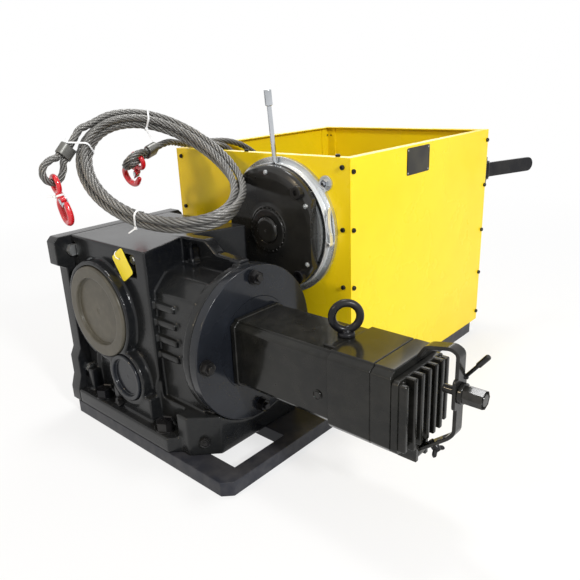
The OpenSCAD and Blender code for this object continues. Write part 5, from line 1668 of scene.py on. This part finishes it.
    def tag(self) -> None:
        """Builds the blank tag with its hole, and the wire loop that it hangs from."""
        lean = turn_by(self.tag_lean, "Y")
        place = Matrix.Translation((-50, -452.2, self.plug_z)) @ lean
        top, low = 15, -43
        sides = round_corners([(0, top), (self.tag_half, top), (self.tag_half, low), (0, low)], 7, 4)[1:-1]
        half = [(0, top), *sides, (0, low)] + arc_points(2.6, -90, 90, 8)
        card = Shape()
        card.prism(half, ORIGIN, X, Z, 1.3, place=place, mirrored=True)
        card.piece("blank_tag", "base", Finishes.TAG, ("oil_tag",))
        loop = Shape()
        loop.turned(ring_outline(9.2, 0.8, 8), Vector((0, 2.0, 8)), X, 32, closed=True, place=place)
        loop.piece("tag_wire_loop", "base", Finishes.NYLON)


@dataclass
class Motor:
    """The square motor: housings, ribbed end cover, lifting eye and hand release."""

    middle_y: float = -316.0
    middle_z: float = 232.0
    flange_x: float = 188.0
    front_len: float = 229.0
    front_w: float = 134.0
    collar: float = 12.0
    rear_w: float = 144.0
    rear_len: float = 84.0
    cap_len: float = 35.8
    joint: float = 1.2
    step: float = 12.0
    saddle: tuple = (26.0, 96.0, 6.0)
    eye_x: float = 405.0
    eye_r: float = 24.0
    eye_bar: float = 7.0
    eye_up: float = 35.5
    end_t: float = 12.0
    ribs: int = 7
    rib: float = 9.0
    bail_hinge: tuple = (545.0, 137.0)
    bail_foot: tuple = (604.0, 186.0)
    bail_w: float = 22.0
    bail_t: float = 6.0
    knob_x: float = 616.3
    knob_z: float = 266.0
    knob_r: float = 15.0

    def __post_init__(self) -> None:
        """Works out where the rear housing and the end cover start, and the motor's axis."""
        self.rear_x = self.flange_x + self.front_len
        self.end_x = self.rear_x + self.rear_len + self.joint + self.cap_len
        self.axis = Vector((0, self.middle_y, self.middle_z))

    def section(self, width: float) -> list:
        """The stepped square outline in Y and Z.

        Args:
            width: the size across the flats.

        Returns:
            The outline's points.
        """
        h, s = width / 2, self.step
        return [(-h + s, -h), (h - s, -h), (h - s / 2, -h + s / 3), (h, -h + s), (h, h - s),
                (h - s / 3, h - s * 2 / 3), (h - s, h - s / 3), (h - s, h), (-h + s, h), (-h + s, h - s / 3),
                (-h + s / 3, h - s * 2 / 3), (-h, h - s), (-h, -h + s), (-h + s / 2, -h + s / 3)]

    def build(self) -> None:
        """Builds every piece of the motor."""
        self.housings()
        self.end_cover()
        self.eyebolt()
        self.release()
        self.knob()
        self.wing()

    def housings(self) -> None:
        """Builds the front housing with its plug and the rear housing with its saddle for the lifting eye."""
        front = Shape()
        start = self.axis + X * self.flange_x
        front.prism(self.section(self.front_w), start, Y, Z, self.front_len, 1.6, 3)
        front.prism(self.section(self.front_w + self.collar / 2), start, Y, Z, self.collar, 2.2, 3)
        plug = [(0, 2), (6.6, 2), (7, 1.2), (7.6, 1.2), (8, 2), (9, 1.6), (9, -2), (0, -2)]
        front.turned(plug, Vector((394, self.middle_y - self.front_w / 2, self.middle_z - 16)), -Y, 32)
        front.piece("motor_front", "base", Finishes.MOTOR, ("motor_housing",))
        rear = Shape()
        gap = self.rear_x + self.rear_len
        rear.prism(self.section(self.rear_w), self.axis + X * self.rear_x, Y, Z, self.rear_len, 1.8, 3)
        rear.prism(self.section(self.rear_w), self.axis + X * (gap + self.joint), Y, Z, self.cap_len, 1.8,
                   3)
        rear.prism(self.section(self.rear_w - 3), self.axis + X * (gap - 4), Y, Z, 12, 0.4, 1)
        long, wide, high = self.saddle
        end, top = self.rear_x + 2, self.rear_w / 2
        rear.block(self.axis + Vector((end - long, -wide / 2, top - high)),
                   self.axis + Vector((end, wide / 2, top)), 1.6, 3)
        rear.piece("motor_rear", "base", Finishes.MOTOR, ("motor_rear_housing",))

    def end_cover(self) -> None:
        """Builds the ribbed end cover with its screws."""
        shape = Shape()
        half, top, thick = 70.0, 58.0, self.end_t
        outline = round_corners([(-half, -half), (half, -half), (half, top), (-half, top)], 12, 4, True)
        shape.prism(outline, self.axis + X * self.end_x, Y, Z, thick, 1.6, 3)
        for i in range(self.ribs):
            y = (i * (self.front_w - self.rib) / (self.ribs - 1)) - self.front_w / 2
            drop = 5.0 if i in (0, self.ribs - 1) else 0.0
            low = self.axis + Vector((self.end_x + thick - 4, y, drop - self.front_w / 2))
            high = self.axis + Vector((self.end_x + thick + 16 - drop * 0.6, y + self.rib, top - drop))
            shape.block(low, high, 2.4, 3)
        screw = [(0, 15.5), (3.6, 15.5), (4.6, 14.8), (4.8, thick), (4.8, thick - 2), (0, thick - 2)]
        for y in (-56, 56):
            for z in (-60, 50):
                shape.turned(screw, self.axis + Vector((self.end_x, y, z)), X, 20)
        shape.piece("motor_end", "base", Finishes.MOTOR_CAST, ("motor_end_cover",))

    def eyebolt(self) -> None:
        """Builds the lifting eye."""
        base = self.axis + Vector((self.eye_x, 0, self.rear_w / 2))
        shape = Shape()
        foot = [(0, -17), (8, -17), (8, -1), (13.4, 0), (15, 1.6), (15, 5.4), (13.6, 7.6), (9.5, 9.6),
                (8.2, 12.5), (0, 12.5)]
        shape.turned(foot, base, Z, 40)
        place = Matrix.Translation(base + Z * self.eye_up) @ Matrix.Rotation(TURN / 8, 4, "Z")
        shape.turned(ring_outline(self.eye_r, self.eye_bar, 20), ORIGIN, Y, 56, closed=True, place=place)
        shape.piece("lifting_eye", "base", Finishes.OXIDE, ("motor_eyebolt",))

    def release(self) -> None:
        """Builds the bail with its lug, knob plate and small handle, and its bracket."""
        y = self.middle_y
        bail = Shape()
        line = [(548, 309), (560, 329), (601, 337), (613, 331), (613, 198), self.bail_foot, self.bail_hinge]
        bail.strap(upright(round_corners(line, 7, 4), y), Y, self.bail_w, self.bail_t, 0.9)
        half = self.bail_w / 2
        lug = round_corners([(5.05, -half), (half, -half), (half, half), (5.05, half)], 1.2, 2, True)
        bail.turned(lug, Vector((self.bail_hinge[0], y, self.bail_hinge[1])), Y, 36, closed=True)
        plate = round_corners(box_outline(18, 26), 8, 4, True)
        bail.prism(plate, Vector((610, y, self.knob_z)), Y, Z, self.bail_t, 1.0, 2)
        lean = Matrix.Translation((614, y + 14.4, 285.5)) @ turn_by(38, "Y")
        handle = [(0, 0), (3, 0), (3, 31), (4.2, 32), (4.5, 33), (4.5, 54.4), (3.6, 56), (0, 56)]
        for outline in (handle, [(0, 0.5), (4.6, 0.5), (5.2, 2.2), (4.4, 4), (0, 4)]):
            bail.turned(outline, ORIGIN, Z, 20, place=lean)
        bail.piece("hand_release_bail", "bail", Finishes.MOTOR, ("release_bail",))
        Shape().copied("bail_bracket", 1.0).piece("bail_hinge", "base", Finishes.MOTOR, ("bail_bracket",))

    def knob(self) -> None:
        """Builds the eight-sided knob."""
        knob = Shape()
        axis = Vector((self.knob_x, self.middle_y, self.knob_z))
        knob.turned(round_corners([(0, 0), (17, 0), (17, 7), (13, 7.4), (0, 7.4)], 1.4, 3), axis, X, 40)
        at = Matrix.Translation(axis + X * 7) @ Matrix.Rotation(QUARTER, 4, "Y")
        knob.hexagon(2 * self.knob_r * math.cos(math.pi / 8), 31, at, 8)
        knob.turned([(0, 30), (9, 30), (9.6, 30.8), (9, 31.6), (0, 31.6)], ORIGIN, Z, 32, place=at)
        knob.turned([(0, -28), (6.2, -28), (7, -27), (7, 1), (0, 1)], axis, X, 28)
        knob.piece("release_knob_grip", "knob", Finishes.MOTOR, ("release_knob",))

    def wing(self) -> None:
        """Builds the wing screw half way along the lower leg of the bail."""
        (x0, z0), (x1, z1) = self.bail_hinge, self.bail_foot
        middle = Matrix.Translation(((x0 + x1) / 2, self.middle_y, (z0 + z1) / 2))
        seat = middle @ Matrix.Rotation(math.pi - math.atan2(z1 - z0, x1 - x0), 4, "Y")
        shape = Shape()
        shape.turned(round_corners([(0, 3.3), (7, 3.3), (7, 9), (5, 15.3), (0, 15.3)], 1.0, 2), ORIGIN, Z,
                     28, place=seat)
        for side in (-1, 1):
            outline = round_corners([(0, 7.3), (side * 10, 9.5), (side * 16, 13), (side * 17, 18.5),
                                     (side * 12, 19.3), (side * 6, 15.5), (0, 15)], 2.2, 3, True)
            shape.prism(outline[::side], Vector((-2, 0, 0)), Y, Z, 4, 0.7, 2, seat)
        shape.turned([(0, -6), (3.4, -6), (4, -5.4), (4, 4), (0, 4)], ORIGIN, Z, 20, place=seat)
        shape.piece("wing_screw_grip", "wing", Finishes.OXIDE, ("wing_screw",))


@dataclass
class HoldingBrake:
    """The holding brake on the front of the cover."""

    x: float = 80.0
    z: float = 414.0
    housing_y: float = -155.7
    flat: float = 118.0
    ticks: int = 24
    screw_circle: float = 126.0
    pin_circle: float = 124.0
    lug_nut: tuple = (125.0, -112.5, 103.0)
    band_y: float = -131.3
    band_r: float = 138.3
    band_w: float = 14.0
    band_gap: float = 6.4
    band_turn: float = 8.0
    latch_lean: float = -12.0
    lever_y: float = -123.0
    lever_up: float = 118.0
    lever_lean: float = 5.0

    def around(self, radius: float, degrees: float) -> Matrix:
        """The place on a circle round the brake's face, with local Z towards the front.

        Args:
            radius: the circle's radius.
            degrees: the angle below the +X side.

        Returns:
            The matrix.
        """
        turn = turn_by(degrees, "Y")
        return (Matrix.Translation((self.x, self.housing_y, self.z)) @ turn
                @ Matrix.Translation((radius, 0, 0)) @ Matrix.Rotation(QUARTER, 4, "X"))

    def build(self) -> None:
        """Builds every piece of the brake."""
        self.housing()
        plate = Shape().copied("brake_mounting_plate", 0.8)
        plate.piece("brake_plate", "base", Finishes.ZINC, ("brake_mounting_plate",))
        self.screws()
        self.band()
        self.latch()
        self.lever()
        keep("friction_disc", Finishes.LINING)
        keep("armature_plate", Finishes.ZINC)

    def housing(self) -> None:
        """Builds the pressed housing with the ticks round its cap, and the cap."""
        face = Vector((self.x, self.housing_y, self.z))
        shell = Shape()
        outline = [(30, -2.3), (30, 2.4), (31, 4.0), (44, 4.0), (46, 3.2), (46.6, 0.0), (50, 1.7),
                   (52, 0.3), (60, -0.1), (112, -0.1), (126, -1.1), (134, -4.1), (137.2, -7.8),
                   (138, -11.3), (138, -21), (30, -21)]
        shell.turned(round_corners(outline, 1.0, 2, True), face, -Y, 120, closed=True,
                     flats=(X * self.flat, -X * self.flat))
        for k in range(self.ticks):
            place = self.around(47.6, 360 / self.ticks * k)
            shell.block(Vector((-2.4, -1.6, -1)), Vector((2.0, 1.6, 3.4)), 0.5, 1, place)
        shell.piece("brake_magnet", "base", Finishes.BRAKE, ("magnet_housing",))
        cap = Shape()
        dome = [(0, 8.9), (1.4, 8.9), (2.2, 8.4), (2.8, 9.2), (3.4, 9.8), (22, 10.0), (25.6, 9.4),
                (28, 7.4), (29, 4.6), (29, -1.8), (0, -1.8)]
        cap.turned(round_corners(dome, 0.6, 2), face, -Y, 72)
        cap.piece("brake_centre_cap", "base", Finishes.BRAKE, ("brake_cap",))

    def screws(self) -> None:
        """Builds the socket screws, the small pins and the bright nut."""
        shape = Shape()
        head = [(6.2, 5.5), (6.2, 11), (11.8, 11), (13.4, 9.6), (13.4, 0), (6.2, 0)]
        body = [(0, 5.6), (6.3, 5.6), (6.3, 0), (5.3, 0), (5.3, -46), (0, -46)]
        for k in range(4):
            place = self.around(self.screw_circle, 45 + 90 * k)
            shape.turned(head, ORIGIN, Z, 30, closed=True, place=place)
            shape.turned(body, ORIGIN, Z, 24, place=place)
        shape.piece("brake_screw_set", "base", Finishes.OXIDE, ("brake_screws",))
        pins = Shape()
        pin = [(0, 4), (1.6, 4), (1.9, 3.2), (3.9, 3.2), (5, 2.0), (5, -3.4), (2.4, -3.4), (2.4, -3.6),
               (0, -3.6)]
        for k in range(6):
            pins.turned(pin, ORIGIN, Z, 24, place=self.around(self.pin_circle, 30 + 60 * k))
        pins.piece("brake_pins", "base", Finishes.ZINC, ("brake_screws",))
        nut = Shape()
        out, y, up = self.lug_nut
        place = Matrix.Translation((self.x + out, y, self.z + up)) @ Matrix.Rotation(QUARTER, 4, "X")
        nut.hexagon(16, 7.6, place)
        nut.turned([(0, 6), (4.4, 6), (4.4, 8.6), (3.6, 9.4), (0, 9.4)], ORIGIN, Z, 20, place=place)
        nut.piece("brake_lug_nut", "base", Finishes.CHROME, ("brake_screws",))

    def hinge(self) -> Matrix:
        """The place beside the band that its latch hangs from, with local X out of the brake."""
        turn = turn_by(self.band_turn, "Y")
        return Matrix.Translation((self.x, self.band_y, self.z)) @ turn

    def band(self) -> None:
        """Builds the bright band with the ears of its latch."""
        gap = 2 * math.asin(self.band_gap / 139)
        inner, outer, groove, wide = self.band_r, self.band_r + 2, self.band_r + 1.4, self.band_w
        outline = [(inner, 0), (outer, 0), (outer, 1.6), (groove, 2.6), (groove, wide - 2.6),
                   (outer, wide - 1.6), (outer, wide), (inner, wide)]
        start = Vector((math.sin(gap / 2), 0, math.cos(gap / 2)))
        shape = Shape()
        shape.turned(round_corners(outline, 0.3, 1, True), Vector((self.x, self.band_y, self.z)), Y, 160,
                     closed=True, arc=TURN - gap, start=start)
        ear = round_corners([(139.6, -6), (146, -5), (150.3, -2), (150.3, 3), (146, 5), (139.6, 6)], 2, 2,
                            True)
        for y in (1.7, wide):
            shape.prism(ear, Vector((0, y, 0)), X, Z, 1.7, 0.3, 1, self.hinge())
        shape.piece("bright_band", "base", Finishes.BRIGHT, ("brake_band",))

    def latch(self) -> None:
        """Builds the band's over-centre latch: pin, roller, arm, wires and cross pins."""
        latch = Shape()
        pivot = self.hinge() @ Matrix.Translation((145.3, self.band_w / 2, 0))
        latch.turned([(0, -7), (2.2, -7), (2.5, -6.7), (2.5, 6.7), (2.2, 7), (0, 7)], ORIGIN, Y, 20,
                     place=pivot)
        roller = round_corners([(2.5, -5), (4.2, -5), (4.2, 5), (2.5, 5)], 0.5, 2, True)
        latch.turned(roller, ORIGIN, Y, 24, closed=True, place=pivot)
        swing = pivot @ turn_by(self.latch_lean, "Y")
        arm = round_corners([(3.2, 0), (4.4, 16), (2.2, 34), (2.0, 58), (3.4, 70), (6.4, 77)], 8, 4)
        latch.strap(upright(arm), Y, 10, 2.4, 0.4, place=swing)
        for y in (-4.2, 4.2):
            wire = smooth_route(upright([(3.6, 20), (0.6, 26), (-0.4, 40), (-0.6, 62)], y), 3)
            latch.swept(wire, [1.1] * len(wire), 8, place=swing)
        for radius, half, x, z in ((1.6, 5.3, -0.4, 62), (1.9, 5.4, 3.8, 20)):
            latch.turned([(0, -half), (radius, -half), (radius, half), (0, half)], Vector((x, 0, z)), Y, 14,
                         place=swing)
        latch.piece("band_latch_arm", "latch", Finishes.BRIGHT, ("band_latch",))

    def lever(self) -> None:
        """Builds the hand lever with its grip sleeve."""
        base = Vector((self.x, self.lever_y, self.z + self.lever_up))
        lean = Matrix.Translation(base) @ turn_by(self.lever_lean, "X")
        shape = Shape()
        rod = [(0, -5), (3.4, -4), (4.9, -1.5), (5, 0), (5, 139)]
        grip = [(6.4, 140), (7.6, 140.4), (8, 141.4), (8, 170), (7.2, 171.6), (6.4, 172), (4.2, 172),
                (3.8, 170.6), (0, 170.6)]
        shape.turned(rod + grip, ORIGIN, Z, 32, place=lean)
        shape.turned([(0, -12), (2.2, -12), (2.5, -11.6), (2.5, 11.6), (2.2, 12), (0, 12)], base, X, 18)
        shape.piece("hand_lever_rod", "hand_lever", Finishes.CHROME, ("brake_hand_lever",))


@dataclass
class Cover:
    """The yellow cover: sheets, corner angles, screws, name plate and side lever."""

    x: float = -275.0
    y: float = -108.0
    width: float = 540.0
    length: float = 620.0
    base: float = 30.0
    height: float = 540.0
    front_shares: tuple = (0.035, 0.27, 0.5, 0.73, 0.965)
    side_shares: tuple = (0.05, 0.27, 0.5, 0.73, 0.95)
    rear_shares: tuple = (0.03, 0.49, 0.95)
    edge: float = 19.0
    side_edge: float = 8.0
    rim_screws: tuple = (227.0, -32.0)
    rim_in: float = 10.0
    bracket: tuple = (242.0, 460.0, 31.0)
    plate_y: float = 151.0
    plate_drop: float = 35.0
    plate_half: tuple = (49.0, 30.0)

    def __post_init__(self) -> None:
        """Works out the far sides of the cover."""
        self.right, self.back, self.top = self.x + self.width, self.y + self.length, self.base + self.height

    def build(self) -> None:
        """Builds every piece of the cover."""
        for side in ("front", "rear", "left", "right"):
            sheet = Shape().copied(f"cover_{side}", 0.7, 2, 50)
            sheet.piece(f"sheet_{side}", "base", Finishes.YELLOW, (f"cover_{side}",))
        keep("corner_posts", Finishes.YELLOW)
        self.screws()
        self.plate()
        for node, name, body in (("side_lever", "flat_bar_lever", "side_lever"),
                                 ("lever_bracket", "flat_bar_bracket", "base")):
            Shape().copied(node, 1.0).piece(name, body, Finishes.OXIDE, (node,))

    def screw_places(self) -> list:
        """The places of the cover screws, each with local Z out of the sheet.

        Returns:
            The matrices.
        """
        places = []
        for shares, y, turn in ((self.front_shares, self.y, 90), (self.rear_shares, self.back, -90)):
            places += [((x, y, self.base + share * self.height), turn, "X") for share in shares
                       for x in (self.x + self.edge, self.right - self.edge)]
        for x, turn in ((self.x, -90), (self.right, 90)):
            places += [((x, y, self.base + share * self.height), turn, "Y") for share in self.side_shares
                       for y in (self.y + self.side_edge, self.back - self.side_edge)]
        places += [((x, self.y + self.rim_in, self.top), 0, "X") for x in self.rim_screws]
        x, z, apart = self.bracket
        places += [((x, self.back + 5, z + up), -90, "X") for up in (-apart, apart)]
        return [Matrix.Translation(place) @ turn_by(turn, axis)
                for place, turn, axis in places]

    def screws(self) -> None:
        """Builds the black socket screws of the cover."""
        shape = Shape()
        head = [(2.2, 2.2), (2.4, 5), (4.0, 5), (5.0, 3.8), (5, 0.4), (4.6, 0), (2.2, 0)]
        body = [(0, 2.3), (2.3, 2.3), (2.8, 0), (2.8, -6), (0, -6)]
        for place in self.screw_places():
            shape.turned(head, ORIGIN, Z, 20, closed=True, place=place)
            shape.turned(body, ORIGIN, Z, 10, place=place)
        shape.piece("cover_screw_set", "base", Finishes.OXIDE, ("cover_screws",))

    def plate(self) -> None:
        """Builds the bare name plate with its rim and rivets."""
        centre = Vector((self.right, self.plate_y, self.top - self.plate_drop))
        half_y, half_z = self.plate_half
        shape = Shape()
        shape.prism(round_corners(box_outline(half_y, half_z), 5, 4, True), centre, Y, Z, 0.9, 0.2, 1)
        rim = [centre + Vector((1.0, a, b))
               for a, b in round_corners(box_outline(half_y - 2, half_z - 2), 4, 4, True)]
        rim.append(rim[0])
        shape.swept(rim, [0.5] * len(rim), 6, side=X)
        shape.piece("bare_name_plate", "base", Finishes.PLATE, ("nameplate",))
        rivets = Shape()
        rivet = [(0, 1.5), (1.2, 1.4), (1.9, 1.0), (2.1, 0.4), (0, 0.4)]
        for y, z in box_outline(half_y - 5, half_z - 5):
            rivets.turned(rivet, centre + Y * y + Z * z, X, 14)
        rivets.piece("name_plate_rivets", "base", Finishes.ZINC)


@dataclass
class DrumDrive:
    """Shafts, bearings, gears, drum and base."""

    x: float = -130.0
    z: float = 275.0
    drum_y: float = 36.0
    flange: float = 12.0
    flange_r: float = 132.0
    room: float = 175.0
    barrel_r: float = 80.0
    wall: float = 12.0
    bore: float = 35.05

    def build(self) -> None:
        """Builds every piece of the drive and the base."""
        for node, name, width in (("base_frame", "base_plate", 1.8),
                                  ("bearing_pedestals", "standing_plates", 1.5)):
            Shape().copied(node, width).piece(name, "base", Finishes.BASE, (node,))
        self.drum()
        for node, name, body in (("drum_gear", "large_gear", "drum"),
                                 ("brake_gear", "brake_pinion", "brake_rotor")):
            Shape().copied(node, 0.5, 1, 40).piece(name, body, Finishes.STEEL, (node,))
        for node in ("output_shaft", "drum_shaft", "brake_shaft", "motor_rotor", "output_bearings",
                     "motor_bearings"):
            keep(node, Finishes.STEEL)
        bearings = Shape().copied("shaft_bearings", 1.2)
        bearings.piece("flange_bearings", "base", Finishes.CASTING, ("shaft_bearings",))

    def drum(self) -> None:
        """Builds the rope drum with its three flanges."""
        bore, edge, barrel, inner = self.bore, self.flange_r, self.barrel_r, self.barrel_r - self.wall
        first = self.flange
        middle = first + self.room
        after = middle + self.flange
        last = after + self.room
        end = last + self.flange
        outline = [(bore, 0), (edge, 0), (edge, first), (barrel, first), (barrel, middle), (edge, middle),
                   (edge, after), (barrel, after), (barrel, last), (edge, last), (edge, end), (bore, end),
                   (bore, last), (inner, last), (inner, first), (bore, first)]
        shape = Shape()
        shape.turned(round_corners(outline, 2.4, 3, True), Vector((self.x, self.drum_y, self.z)), Y, 96,
                     closed=True)
        shape.piece("grooved_drum", "drum", Finishes.CASTING, ("rope_drum", "drum_flanges"))


def main() -> None:
    """Builds the studio and every sub-assembly in order."""
    logging.basicConfig(level=logging.INFO, format="%(message)s")
    studio = Studio()
    studio.camera()
    ropes = Ropes()
    ropes.build()
    ropes.ties()
    for assembly in (Gearbox(), Motor(), HoldingBrake(), Cover(), DrumDrive()):
        assembly.build()
        LOG.info("%s is built", type(assembly).__name__)
    studio.surroundings()


if __name__ == "__main__":
    main()
